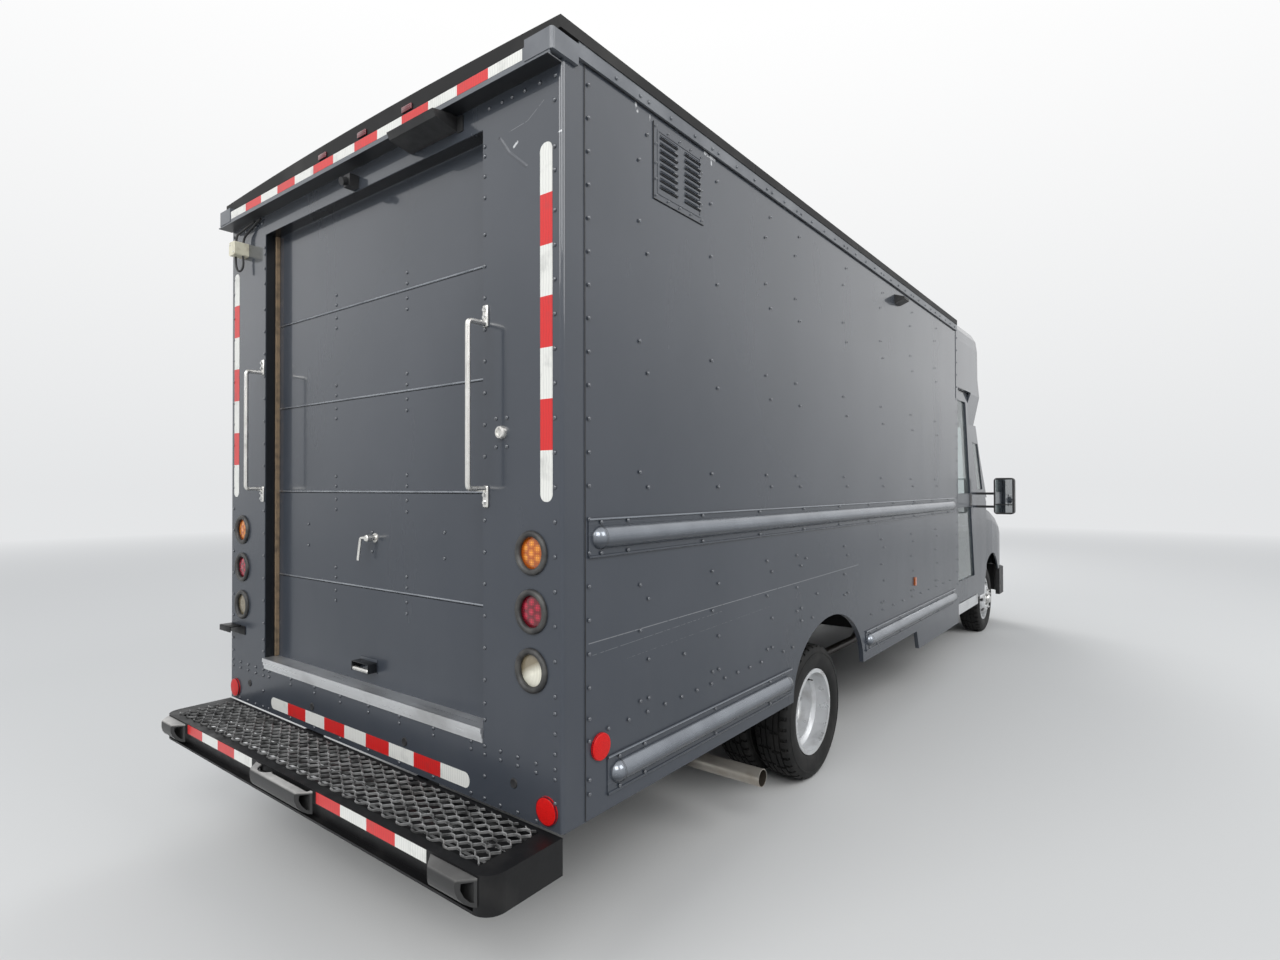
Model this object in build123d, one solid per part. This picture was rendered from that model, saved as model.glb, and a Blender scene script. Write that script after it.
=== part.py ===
from build123d import *
import os
from math import sqrt

# A walk-in delivery van: a riveted aluminium box on a light dual-rear-wheel van chassis.
# Millimetres. +X is the passenger side, +Y is forward and +Z is up from the road.

# Overall sizes. Stations count forward from the rear face of the box.
bumper_reach = 335
front_overhang = 1023
wheelbase = 4522
axle_station = 1970
cab_setback = 1788
body_half = 1103
cab_inset = 73
joint_gap = 0.3
move_gap = 6

# Heights of the box, from the road.
skirt_z = 512
deep_skirt_z = 385
floor_z = 745
floor_depth = 45
wall_top_z = 2794
rail_height = 47
roof_edge = 37
roof_crown = 59
roof_lip = 15
wall = 25

front_station = axle_station + wheelbase
box_length = front_station - cab_setback
overall_length = bumper_reach + front_station + front_overhang
rear_y = bumper_reach - overall_length / 2
cab_half = body_half - cab_inset
roof_z = wall_top_z + rail_height
floor_under = floor_z - floor_depth


def at(station):
    """The Y of a place that lies so far ahead of the rear face."""
    return rear_y + station


def fore(offset):
    """The Y of a place that lies so far ahead of the front axle."""
    return at(front_station + offset)


def block(x, y, z):
    """A straight block between two limits on each axis."""
    middle = [(low + high) / 2 for low, high in (x, y, z)]
    return Pos(*middle) * Box(x[1] - x[0], y[1] - y[0], z[1] - z[0])


def outline(points):
    """A flat face with straight edges."""
    return make_face(Polyline(*points, close=True))


def across(face, x):
    """A side view, drawn as (Y, Z), given a thickness along X."""
    return extrude(Plane.YZ.offset(x[0]) * face, amount=x[1] - x[0])


def along(face, y):
    """A rear view, drawn as (X, Z), given a length along Y."""
    return extrude(Plane.XZ.offset(-y[0]) * face, amount=y[1] - y[0], dir=(0, 1, 0))


def upward(face, z):
    """A plan view, drawn as (X, Y), given a height along Z."""
    return extrude(Plane.XY.offset(z[0]) * face, amount=z[1] - z[0])


def rod(start, end, radius):
    """A round bar between two points."""
    line = Line(start, end)
    return extrude(Plane(origin=start, z_dir=line % 0) * Circle(radius), amount=line.length)


def pipe(points, bends, radius):
    """A round bar bent along straight runs and arcs."""
    path = FilletPolyline(*points, radius=bends)
    return sweep(Plane(origin=path @ 0, z_dir=path % 0) * Circle(radius), path=path)


def facing_rear(radius, depth):
    """A round disc whose axis lies along Y."""
    return Rot(90, 0, 0) * Cylinder(radius, depth)


def sided(side, low, high):
    """Limits along X for the passenger side, or their mirror on the driver's side."""
    return sorted((side * low, side * high))


def both(shape):
    """A piece of the passenger side with its twin on the driver's side."""
    return [shape, mirror(shape, about=Plane.YZ)]


nodes = {}


def keep(name, pieces):
    """Files a node, as one solid or as solids that do not touch."""
    solids = pieces if isinstance(pieces, (list, tuple)) else [pieces]
    nodes[name] = Compound(children=[s for piece in solids for s in piece.solids()])


# Wheels: six tyres on pressed steel discs in drop-centre barrels. The rear ones are twins.
tyre_radius = 343
tyre_width = 196
bead_radius = 205
tyre_shoulder = 26
rim_flange = 218
rim_width = 152
rim_wall = 7
drop_depth = 21
drop_start = -14
drop_end = 52
disc_offset = 112
disc_wall = 8
hand_holes = 8
hand_hole_radius = 17
hand_hole_circle = 146
hub_radius = 62
hub_length = 78
bore_depth = 60
axle_z = tyre_radius
front_wheel_x = 858
rear_outer_x = 938
twin_gap = 40
spindle_radius = 28
spindle_gap = 0.08

rear_axle_y = at(axle_station)
front_axle_y = at(front_station)
rear_inner_x = rear_outer_x - tyre_width - twin_gap
clamp_x = (rear_outer_x + rear_inner_x) / 2


def tyre():
    """One tyre about the X axis, with a flat tread and bulging side walls."""
    half = tyre_width / 2
    side_x = rim_width / 2
    crest = half - tyre_shoulder / 2
    tread = half - tyre_shoulder
    below = tyre_radius - tyre_shoulder
    bulge = (bead_radius + tyre_radius) / 2
    with BuildSketch(Plane.XZ) as section:
        with BuildLine():
            Polyline((-side_x, rim_flange), (-side_x, bead_radius), (side_x, bead_radius),
                     (side_x, rim_flange))
            ThreePointArc((side_x, rim_flange), (half, bulge), (crest, below))
            Polyline((crest, below), (tread, tyre_radius), (-tread, tyre_radius), (-crest, below))
            ThreePointArc((-crest, below), (-half, bulge), (-side_x, rim_flange))
        make_face()
    return revolve(section.sketch, axis=Axis.X)


def disc_wheel():
    """One wheel about the X axis: a stepped barrel and a dished disc with its hub face at +disc_offset."""
    half = rim_width / 2
    lip = half + rim_wall
    step = 12
    seat = bead_radius - rim_wall
    well = bead_radius - drop_depth
    barrel_outline = outline([
        (-lip, rim_flange), (-half, rim_flange), (-half, bead_radius), (drop_start, bead_radius),
        (drop_start + step, well), (drop_end - step, well), (drop_end, bead_radius), (half, bead_radius),
        (half, rim_flange), (lip, rim_flange), (lip, seat), (drop_end - rim_wall / 2, seat),
        (drop_end - step - rim_wall / 2, well - rim_wall), (drop_start + step + rim_wall / 2, well - rim_wall),
        (drop_start + rim_wall / 2, seat), (-lip, seat)])
    barrel = revolve(Plane.XZ * barrel_outline, axis=Axis.X)
    skirt = well - rim_wall + 1
    skirt_start = drop_start + step + rim_wall
    neck = (skirt_start + 46, skirt - 7)
    face = disc_offset
    with BuildSketch(Plane.XZ) as dish:
        with BuildLine():
            Polyline((neck[0], neck[1] - disc_wall), (skirt_start, skirt - disc_wall), (skirt_start, skirt),
                     (drop_end - step - rim_wall, skirt), neck)
            ThreePointArc(neck, (face - 19, skirt - 28), (face, skirt - 66))
            Polyline((face, skirt - 66), (face, hub_radius / 2), (face - disc_wall, hub_radius / 2),
                     (face - disc_wall, skirt - 66))
            ThreePointArc((face - disc_wall, skirt - 66), (face - 25, skirt - 34),
                          (neck[0], neck[1] - disc_wall))
        make_face()
    disc = revolve(dish.sketch, axis=Axis.X)
    hole = Pos(disc_offset, 0, hand_hole_circle) * Rot(0, 90, 0) * Cylinder(hand_hole_radius, disc_offset)
    for index in range(hand_holes):
        disc -= Rot(360 * index / hand_holes, 0, 0) * hole
    return barrel + disc


def hub(length, radius):
    """A hub barrel that reaches inward from the disc's hub face, bored for its spindle."""
    body = Rot(0, 90, 0) * Pos(0, 0, disc_offset - length / 2) * Cylinder(radius, length)
    bore = Rot(0, 90, 0) * Pos(0, 0, disc_offset - length + bore_depth / 2)
    return body - bore * Cylinder(spindle_radius + spindle_gap, bore_depth)


front_rim = disc_wheel() + hub(hub_length, hub_radius)
front_place = Pos(front_wheel_x, front_axle_y, axle_z)
for name, shape in (("front_tyre", tyre()), ("front_rim", front_rim)):
    right, left = both(front_place * shape)
    keep(name + "_right", right)
    keep(name + "_left", left)

# Each rear pair is clamped hub face to hub face, so the outer disc is a deep dish.
rear_hub_length = 90
hub_cap_length = 70
hub_cap_round = 12
inner_shift = clamp_x - disc_offset
outer_shift = clamp_x + disc_offset
inner_wheel = Pos(inner_shift, rear_axle_y, axle_z) * disc_wheel()
outer_wheel = Pos(outer_shift, rear_axle_y, axle_z) * Rot(0, 180, 0) * disc_wheel()
rear_hub = Pos(inner_shift, rear_axle_y, axle_z) * hub(rear_hub_length, hub_radius)
hub_cap = Pos(clamp_x + hub_cap_length / 2, rear_axle_y, axle_z) * Rot(0, 90, 0)
hub_cap *= Cylinder(hub_radius - 8, hub_cap_length)
hub_cap = fillet(hub_cap.edges().sort_by(Axis.X)[-1], hub_cap_round)
rear_rims = outer_wheel + inner_wheel + rear_hub + hub_cap
rear_tyres = [Pos(x, rear_axle_y, axle_z) * tyre() for x in (outer_shift, inner_shift)]
for name, pieces in (("rear_tyres", rear_tyres), ("rear_rims", [rear_rims])):
    keep(name + "_right", pieces)
    keep(name + "_left", [mirror(piece, about=Plane.YZ) for piece in pieces])

# Chassis frame: two channels with cross members between them.
frame_outer = 432
channel_flange = 70
channel_web = 8
frame_top = 655
frame_depth = 165
frame_rear = 70
frame_front = 688
cross_size = 60
drive_member = front_station - 992
cross_stations = (120, 1100, axle_station + 730, axle_station + 1630, front_station - 1892, drive_member,
                  front_station + 588)

frame_low = frame_top - frame_depth
web_in = frame_outer - channel_web
flange_in = frame_outer - channel_flange
channel = outline([(flange_in, frame_low), (frame_outer, frame_low), (frame_outer, frame_top),
                   (flange_in, frame_top), (flange_in, frame_top - channel_web),
                   (web_in, frame_top - channel_web), (web_in, frame_low + channel_web),
                   (flange_in, frame_low + channel_web)])
rail = along(channel, (at(frame_rear), fore(frame_front)))
frame = rail + mirror(rail, about=Plane.YZ)
cross_z = (frame_low + channel_web, frame_low + channel_web + cross_size)
for station in cross_stations:
    frame += block((-web_in, web_in), (at(station), at(station + cross_size)), cross_z)
keep("frame_rails", frame)

# Rear axle: a beam turned in one outline, with its gear housing, pinion nose and two spindles.
axle_tube = 44
gear_radius = 165
gear_flat = 60
gear_taper = 150
nose_radius = 62
nose_reach = 250
spindle_end = clamp_x - rear_hub_length + bore_depth - joint_gap
tube_end = clamp_x - rear_hub_length - joint_gap
axle_half = [(gear_flat, gear_radius), (gear_taper, axle_tube), (tube_end, axle_tube),
             (tube_end, spindle_radius), (spindle_end, spindle_radius), (spindle_end, 0)]
axle_outline = outline(axle_half + [(-x, r) for x, r in reversed(axle_half)])
axle = Pos(0, rear_axle_y, axle_z) * revolve(Plane.XZ * axle_outline, axis=Axis.X)
axle += rod((0, rear_axle_y, axle_z), (0, rear_axle_y + nose_reach, axle_z), nose_radius)
keep("rear_axle", axle)

# Rear springs: a bowed leaf pack each side, in hangers on the frame.
leaf_in = frame_outer + 34
leaf_width = 70
leaf_half_span = 700
leaf_thick = 14
leaf_drop = 90
leaf_shares = (1.0, 0.72, 0.45)
hanger_half = 30
hanger_top = frame_top - 30
seat_z = axle_z + axle_tube
spring = None
for leaf, share in enumerate(leaf_shares):
    reach = leaf_half_span * share
    rise = leaf_drop * share ** 2
    low = seat_z + (len(leaf_shares) - 1 - leaf) * leaf_thick
    high = low + leaf_thick
    rear_tip, front_tip = rear_axle_y - reach, rear_axle_y + reach
    with BuildSketch() as leaf_side:
        with BuildLine():
            ThreePointArc((rear_tip, low + rise), (rear_axle_y, low), (front_tip, low + rise))
            Line((front_tip, low + rise), (front_tip, high + rise))
            ThreePointArc((front_tip, high + rise), (rear_axle_y, high), (rear_tip, high + rise))
            Line((rear_tip, high + rise), (rear_tip, low + rise))
        make_face()
    strip = across(leaf_side.sketch, (leaf_in, leaf_in + leaf_width))
    spring = strip if spring is None else spring + strip
for side in (-1, 1):
    eye_y = rear_axle_y + side * leaf_half_span
    spring += block((frame_outer, leaf_in + leaf_width), (eye_y - hanger_half, eye_y + hanger_half),
                    (seat_z + leaf_drop, hanger_top))
keep("rear_springs", both(spring))

# Front suspension: a cross beam, two lower arms and two struts on the steering axes.
kingpin_low_x = 800
kingpin_low_z = 190
kingpin_top_x = 640
kingpin_top_z = 940
strut_radius = 27
strut_low_z = 470
arm_thick = 22
arm_drop = 13
ball_radius = 18
tower_half = 90
tower_wall = 14
tower_reach = 60
post_half = 200
beam_half = 60
beam_rise = 50

kingpin_low = Vector(kingpin_low_x, front_axle_y, kingpin_low_z)
kingpin_top = Vector(kingpin_top_x, front_axle_y, kingpin_top_z)
kingpin = (kingpin_top - kingpin_low).normalized()


def on_kingpin(z):
    """The point of the steering axis at a height."""
    return kingpin_low + kingpin * ((z - kingpin_low_z) / kingpin.Z)


arm_z = (kingpin_low_z - arm_drop - arm_thick, kingpin_low_z - arm_drop)
arm_rows = (
    # how far out, half width along Y
    (kingpin_low_x + 20, 20),
    (kingpin_low_x - 140, 32),
    (flange_in, 190),
    (flange_in, 120),
)
arm_plan = outline([(x, front_axle_y - half) for x, half in arm_rows] + [(flange_in + 180, front_axle_y)]
                   + [(x, front_axle_y + half) for x, half in reversed(arm_rows)])
arm = upward(arm_plan, arm_z)
arm += rod(tuple(on_kingpin(arm_z[0] + 6)), tuple(kingpin_low - kingpin * joint_gap), ball_radius)
strut = rod(tuple(on_kingpin(strut_low_z) + kingpin * joint_gap), tuple(kingpin_top), strut_radius)
tower_y = (front_axle_y - tower_half, front_axle_y + tower_half)
tower = block((frame_outer, frame_outer + tower_wall), tower_y, (frame_low, kingpin_top_z + tower_wall))
tower += block((frame_outer, kingpin_top_x + tower_reach), tower_y,
               (kingpin_top_z, kingpin_top_z + tower_wall))
post = block((flange_in - 20, flange_in + 60), (front_axle_y - post_half, front_axle_y + post_half),
             (arm_z[0], frame_low))
side_group = arm + post + strut + tower
beam = block((-flange_in, flange_in), (front_axle_y - beam_half, front_axle_y + beam_half),
             (arm_z[0], arm_z[1] + beam_rise))
keep("front_suspension", side_group + mirror(side_group, about=Plane.YZ) + beam)

# Knuckles: each turns on its steering axis and carries a front wheel on its spindle.
upright_radius = 26
carrier_radius = 55
steer_arm_reach = 150
front_spindle_end = front_wheel_x + disc_offset - hub_length + bore_depth - joint_gap
knuckle_face = front_wheel_x + disc_offset - hub_length - joint_gap
knuckle_x = on_kingpin(axle_z).X
knuckle_eye = (knuckle_x, front_axle_y, axle_z)
upright = rod(tuple(kingpin_low), tuple(on_kingpin(strut_low_z)), upright_radius)
carrier = rod(knuckle_eye, (knuckle_face, front_axle_y, axle_z), carrier_radius)
stub = rod(knuckle_eye, (front_spindle_end, front_axle_y, axle_z), spindle_radius)
steer_arm = block((knuckle_x - 22, knuckle_x + 8), (front_axle_y - steer_arm_reach, front_axle_y),
                  (axle_z - 60, axle_z - 36))
for name, piece in zip(("knuckle_right", "knuckle_left"), both(upright + carrier + stub + steer_arm)):
    keep(name, piece)

# Engine, gearbox and propeller shaft.
engine_half = 290
engine_offsets = (-242, 508)
engine_z = (400, 1010)
gearbox_half = 150
gearbox_z = (420, 640)
shaft_radius = 38
shaft_z = 470

engine = block((-engine_half, engine_half), [fore(offset) for offset in engine_offsets], engine_z)
engine += block((-gearbox_half, gearbox_half), (at(drive_member + cross_size), fore(engine_offsets[0])),
                gearbox_z)
keep("engine_block", engine)
shaft_ends = (rear_axle_y + nose_reach + joint_gap, at(drive_member))
drive_line = rod((0, shaft_ends[0] - shaft_radius, axle_z), (0, shaft_ends[1] + shaft_radius, shaft_z),
                 shaft_radius)
keep("propeller_shaft", drive_line & block((-nose_radius, nose_radius), shaft_ends, (0, frame_top)))

# Exhaust: a front pipe, a muffler hung under the frame rail and a tail pipe out at the side.
tail_radius = 38
tail_bore = 35
tail_bore_depth = 60
tail_z = 245
tail_station = axle_station - 697
tail_tip_x = 1080
tail_bend = 130
front_pipe_radius = 30
front_pipe_bend = 260
front_pipe_x = 240
front_pipe_z = 440
muffler_radius = 78
muffler_round = 16
muffler_span = (axle_station + 480, axle_station + 1130)
strap_half = 12
strap_sink = 10

muffler_x = (flange_in + frame_outer) / 2
tail = pipe([(tail_tip_x, at(tail_station), tail_z), (muffler_x, at(tail_station), tail_z),
             (muffler_x, at(muffler_span[0] + 20), tail_z)], [tail_bend], tail_radius)
tail -= rod((tail_tip_x - tail_bore_depth, at(tail_station), tail_z),
            (tail_tip_x + 1, at(tail_station), tail_z), tail_bore)
front_pipe = pipe([(muffler_x, at(muffler_span[1] - 20), tail_z), (muffler_x, fore(-2292), tail_z),
                   (front_pipe_x, fore(-1292), front_pipe_z),
                   (front_pipe_x, fore(engine_offsets[0]) - joint_gap, front_pipe_z)],
                  [front_pipe_bend, front_pipe_bend], front_pipe_radius)
muffler = rod((muffler_x, at(muffler_span[0]), tail_z), (muffler_x, at(muffler_span[1]), tail_z),
              muffler_radius)
muffler = fillet(muffler.edges().filter_by(GeomType.CIRCLE), muffler_round)
exhaust = tail + front_pipe + muffler
for station in (muffler_span[0] + 60, muffler_span[1] - 60):
    exhaust += block((muffler_x - strap_half, muffler_x + strap_half), (at(station) - 4, at(station) + 4),
                     (tail_z + muffler_radius - strap_sink, frame_low - joint_gap))
keep("exhaust", exhaust)

# Fuel tank on the driver's side, held off the frame rail by two brackets.
tank_stations = (axle_station + 780, axle_station + 1730)
tank_x = (460, 900)
tank_z = (330, 640)
tank_round = 45
bracket_width = 60
bracket_inset = 200
bracket_drop = 50

tank = block(tank_x, [at(s) for s in tank_stations], tank_z)
tank = fillet(tank.edges().filter_by(Axis.Y), tank_round)
for station in (tank_stations[0] + bracket_inset, tank_stations[1] - bracket_inset - bracket_width):
    tank += block((frame_outer, tank_x[0] + 10), (at(station), at(station + bracket_width)),
                  (frame_low, tank_z[1] - bracket_drop))
keep("fuel_tank", mirror(tank, about=Plane.YZ))

# Cargo floor, narrower ahead where the cab doors slide back beside it, with a box over each rear pair.
door_thick = 35
door_skin_gap = 5
door_travel = 620
pocket_length = 700
wheel_box_clear = 30
wheel_box_z = 870
wheel_box_wall = 4
arch_station = axle_station + 31
arch_half = 461
arch_rise = 335
rear_depth = 60
bulkhead_inset = 104
bearer_start = 450
bearer_pitch = 620
bearer_width = 50

wall_inner = body_half - wall
door_outer_x = wall_inner - door_skin_gap
door_inner_x = door_outer_x - door_thick
pocket_x = door_inner_x - move_gap
bulkhead_station = box_length - bulkhead_inset
pocket_station = bulkhead_station - pocket_length
wheel_box_in = rear_inner_x - tyre_width / 2 - wheel_box_clear
floor_right = [(wall_inner, at(rear_depth)), (wall_inner, at(pocket_station)),
               (pocket_x, at(pocket_station)), (pocket_x, at(bulkhead_station))]
floor = upward(outline(floor_right + [(-x, y) for x, y in reversed(floor_right)]), (floor_under, floor_z))
arch_span = (at(arch_station - arch_half), at(arch_station + arch_half))
for side in (-1, 1):
    limits = sided(side, wheel_box_in, wall_inner)
    hollow = sided(side, wheel_box_in + wheel_box_wall, wall_inner)
    floor -= block(limits, arch_span, (floor_under - 1, floor_z + 1))
    shell = block(limits, arch_span, (floor_under, wheel_box_z))
    shell -= block(hollow, (arch_span[0] + wheel_box_wall, arch_span[1] - wheel_box_wall),
                   (floor_under - 1, wheel_box_z - wheel_box_wall))
    floor += shell
for index in range(int((bulkhead_station - bearer_start - bearer_width) / bearer_pitch) + 1):
    bearer = at(bearer_start + bearer_pitch * index)
    if not arch_span[0] - bearer_width < bearer < arch_span[1]:
        floor += block((-frame_outer, frame_outer), (bearer, bearer + bearer_width),
                       (frame_top, floor_under))
keep("cargo_floor", floor)

# Side walls: one riveted skin each, with its wheel arch, a deeper skirt and a joint strip ahead.
post_depth = 96
deep_station = box_length - 1196
deep_slope = 52
strip_width = 60
strip_low_z = 2240
strip_thick = 3
side_outline = outline([(at(post_depth), skirt_z), (at(deep_station), skirt_z),
                        (at(deep_station + deep_slope), deep_skirt_z), (at(box_length), deep_skirt_z),
                        (at(box_length), wall_top_z), (at(post_depth), wall_top_z)])
side_wall = across(side_outline, (wall_inner, body_half))
arch_cut = Pos(at(arch_station), skirt_z) * Ellipse(arch_half, arch_rise)
side_wall -= across(arch_cut, (wall_inner - 1, body_half + 1))
side_wall += block((body_half, body_half + strip_thick), (at(box_length - strip_width), at(box_length)),
                   (strip_low_z, wall_top_z))
keep("side_walls", both(side_wall))

# Rub rails: half-round mouldings with bullet ends, on flanges with rolled lips.
rub_stand = 32
rub_flange = 4
rub_lip = 4.5
rub_share = 0.3
rub_inset = 14
rub_rows = (
    # rear end, front end, low edge, high edge
    (110, box_length - 164, 1299, 1422),
    (197, arch_station - arch_half - 29, 558, 679),
    (arch_station + arch_half + 37, box_length - 134, 566, 683),
)
rubs = []
for rear_end, front_end, low, high in rub_rows:
    middle = (low + high) / 2
    flange = block((body_half, body_half + rub_flange), (at(rear_end), at(front_end)), (low, high))
    lip_x = body_half + rub_lip
    for z in (low + rub_lip, high - rub_lip):
        flange += rod((lip_x, at(rear_end), z), (lip_x, at(front_end), z), rub_lip)
    radius = (high - low) * rub_share
    axis_x = body_half + rub_stand - radius
    ends = [(axis_x, y, middle) for y in (at(rear_end + rub_inset) + radius,
                                          at(front_end - rub_inset) - radius)]
    bullet = rod(*ends, radius) + Pos(*ends[0]) * Sphere(radius) + Pos(*ends[1]) * Sphere(radius)
    outside = block((body_half, body_half + rub_stand), (at(rear_end), at(front_end)), (low, high))
    rubs += both(flange + (bullet & outside))
keep("rub_rails", rubs)

# Rear frame: corner posts, header and apron round the door opening, with the lamp holes.
opening_half = 753
header_height = 176
sill_z = floor_z
corner_round = 12
lamp_inset = 127
lamp_heights = (1318, 1142, 966)
lamp_hole = 58

lamp_x = body_half - lamp_inset
opening_top = roof_z - header_height
rear = block((-body_half, body_half), (at(0), at(rear_depth)), (skirt_z, roof_z))
rear = fillet(rear.edges().filter_by(Axis.Z).group_by(Axis.Y)[0], corner_round)
rear -= block((-opening_half, opening_half), (at(-1), at(rear_depth + 1)), (sill_z, opening_top))
for side in (-1, 1):
    rear += block(sided(side, wall_inner, body_half), (at(rear_depth), at(post_depth)),
                  (skirt_z, wall_top_z))
    for z in lamp_heights:
        rear -= Pos(side * lamp_x, at(rear_depth / 2), z) * facing_rear(lamp_hole, rear_depth + 2)
keep("rear_frame", rear)

# Rear lamps: domed lenses pushed into thick rubber grommets with rounded lips.
grommet_radius = 67.5
grommet_crest = 60
lip_stand = 12
lens_radius = 50
lens_sink = 4
lens_crown = 7
sleeve_end = 50
lens_end = 46

with BuildSketch() as grommet_side:
    with BuildLine():
        Polyline((lens_radius, lens_sink), (lens_radius, sleeve_end), (lamp_hole, sleeve_end),
                 (lamp_hole, 0), (grommet_radius, 0))
        ThreePointArc((grommet_radius, 0), (grommet_crest, -lip_stand), (lens_radius, lens_sink))
    make_face()
grommet = revolve(grommet_side.sketch, axis=Axis.Y)
lens_top = lens_sink - lens_crown
dome_radius = (lens_radius ** 2 + lens_crown ** 2) / (2 * lens_crown)
lens = Pos(0, (lens_top + lens_end) / 2, 0) * facing_rear(lens_radius, lens_end - lens_top)
lens &= Pos(0, lens_top + dome_radius, 0) * Rot(90, 0, 0) * Sphere(dome_radius)
grommets, lamps = [], {z: [] for z in lamp_heights}
for side in (-1, 1):
    for z in lamp_heights:
        grommets.append(Pos(side * lamp_x, at(0), z) * grommet)
        lamps[z].append(Pos(side * lamp_x, at(0), z) * lens)
keep("lamp_grommets", grommets)
keep("clear_lamps", lamps[lamp_heights[2]])

# Rear door: five hinged panels that roll up inside.
door_overlap = 22
panel_pitch = 377
low_panel = 370
door_lap = 40
panel_depth = 34
panel_count = 5
panel_joint = 2
sill_sheet = 3
sill_face = 45
door_low = sill_z + sill_sheet
seams = [door_low + low_panel + panel_pitch * index for index in range(panel_count - 1)]
edges = [door_low] + seams + [opening_top + door_lap + panel_joint]
panels = []
for low, high in zip(edges, edges[1:]):
    panels.append(block((-opening_half - door_overlap, opening_half + door_overlap),
                        (at(rear_depth), at(rear_depth + panel_depth)), (low, high - panel_joint)))
keep("rear_door", panels)

# Door sill: a bright sheet folded down over the apron in three steps.
sill_steps = (
    # how far it stands off the apron, low edge
    (sill_sheet, sill_z - sill_face),
    (sill_sheet + 4, sill_z - 30),
    (sill_sheet + 8, sill_z - 14),
)
sill = block((-opening_half, opening_half), (at(0), at(rear_depth)), (sill_z, door_low))
for stand, low in sill_steps:
    sill += block((-opening_half, opening_half), (at(-stand), at(0)), (low, door_low))
keep("door_sill", sill)

# Grab handles: bent tube in cast feet, each foot with two bolt pads in line with the tube.
grab_x = opening_half + 17
grab_z = (1511, 2037)
grab_stand = 60
grab_radius = 12.5
grab_bend = 35
foot_radius = 15
foot_thick = 11
pad_steps = (20, 46)
neck_half = 9
grabs = []
for side in (-1, 1):
    x = side * grab_x
    bar = pipe([(x, at(-5), grab_z[0]), (x, at(-grab_stand), grab_z[0]), (x, at(-grab_stand), grab_z[1]),
                (x, at(-5), grab_z[1])], [grab_bend, grab_bend], grab_radius)
    for z, way in zip(grab_z, (-1, 1)):
        for step in (0,) + pad_steps:
            bar += Pos(x, at(-foot_thick / 2), z + way * step) * facing_rear(foot_radius, foot_thick)
        bar += block((x - neck_half, x + neck_half), (at(-foot_thick + 2), at(0)),
                     sorted((z, z + way * pad_steps[1])))
    grabs.append(bar)

# Door latch with its cranked lever, and the folded pull low on the door.
latch_z = 1320
latch_stand = 42
lever_stand = 34
lever_radius = 8
lever_points = ((24, 0), (-60, 0), (-60, -95))
pull_z = 821
pull_half = 62
pull_ledge = 3
pull_depth = 42
grip_radius = 9
grip_drop = 26
latch = block((-22, 22), (at(rear_depth - 4), at(rear_depth)), (latch_z - 42, latch_z + 42))
latch += rod((0, at(rear_depth), latch_z), (0, at(rear_depth - latch_stand), latch_z), 15)
latch += pipe([(x, at(rear_depth - lever_stand), latch_z + z) for x, z in lever_points], [14], lever_radius)
pull_y = (at(rear_depth - pull_depth), at(rear_depth))
pull = block((-pull_half, pull_half), (at(rear_depth - 4), at(rear_depth)), (pull_z - 42, pull_z + 14))
pull += block((-pull_half, pull_half), pull_y, (pull_z, pull_z + pull_ledge))
for x in (-pull_half, pull_half - 4):
    pull += block((x, x + 4), pull_y, (pull_z - grip_drop - 8, pull_z))
pull += rod((-pull_half, pull_y[0] + 12, pull_z - grip_drop),
            (pull_half, pull_y[0] + 12, pull_z - grip_drop), grip_radius)
keep("rear_handles", grabs + [latch, pull])

# Round red reflectors on the posts and the side walls.
reflector_radius = 41.5
reflector_thick = 8
reflector_inset = 61
rear_reflector_z = 566
side_reflector = (163, 720)
reflectors = []
for side in (-1, 1):
    place = Pos(side * (body_half - reflector_inset), at(-reflector_thick / 2), rear_reflector_z)
    reflectors.append(place * facing_rear(reflector_radius, reflector_thick))
    place = Pos(side * (body_half + reflector_thick / 2), at(side_reflector[0]), side_reflector[1])
    reflectors.append(place * Rot(0, 90, 0) * Cylinder(reflector_radius, reflector_thick))
keep("red_lamps", lamps[lamp_heights[1]] + reflectors)

# Gutter over the door: a folded band with a bottom lip, and a casting round each corner.
gutter_reach = 50
gutter_lip = 10
gutter_sheet = 4
gutter_z = (2752, 2812)
corner_z = (2768, 2832)
corner_length = 115
casting_round = 10
rail_proud = 12
corner_out = body_half + rail_proud
band_rear = at(-gutter_reach)
lip_rear = band_rear - gutter_lip
inner_rear = band_rear + gutter_sheet
low_face = gutter_z[0] + gutter_sheet
high_face = gutter_z[1] - gutter_sheet
gutter_side = outline([(at(0), gutter_z[1]), (band_rear, gutter_z[1]), (band_rear, low_face),
                       (lip_rear, low_face), (lip_rear, gutter_z[0]), (at(0), gutter_z[0]),
                       (at(0), low_face), (inner_rear, low_face), (inner_rear, high_face),
                       (at(0), high_face)])
gutter = across(gutter_side, (-body_half, body_half))
casting = block((corner_out - corner_length, corner_out), (band_rear - 2, at(0)), corner_z)
casting = fillet(casting.edges().filter_by(Axis.Z).group_by(Axis.Y)[0].sort_by(Axis.X)[-1], casting_round)
casting += block((body_half, corner_out), (at(-1), at(rear_depth)), corner_z)
for piece in both(casting):
    gutter += piece
keep("rear_visor", gutter)

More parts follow.
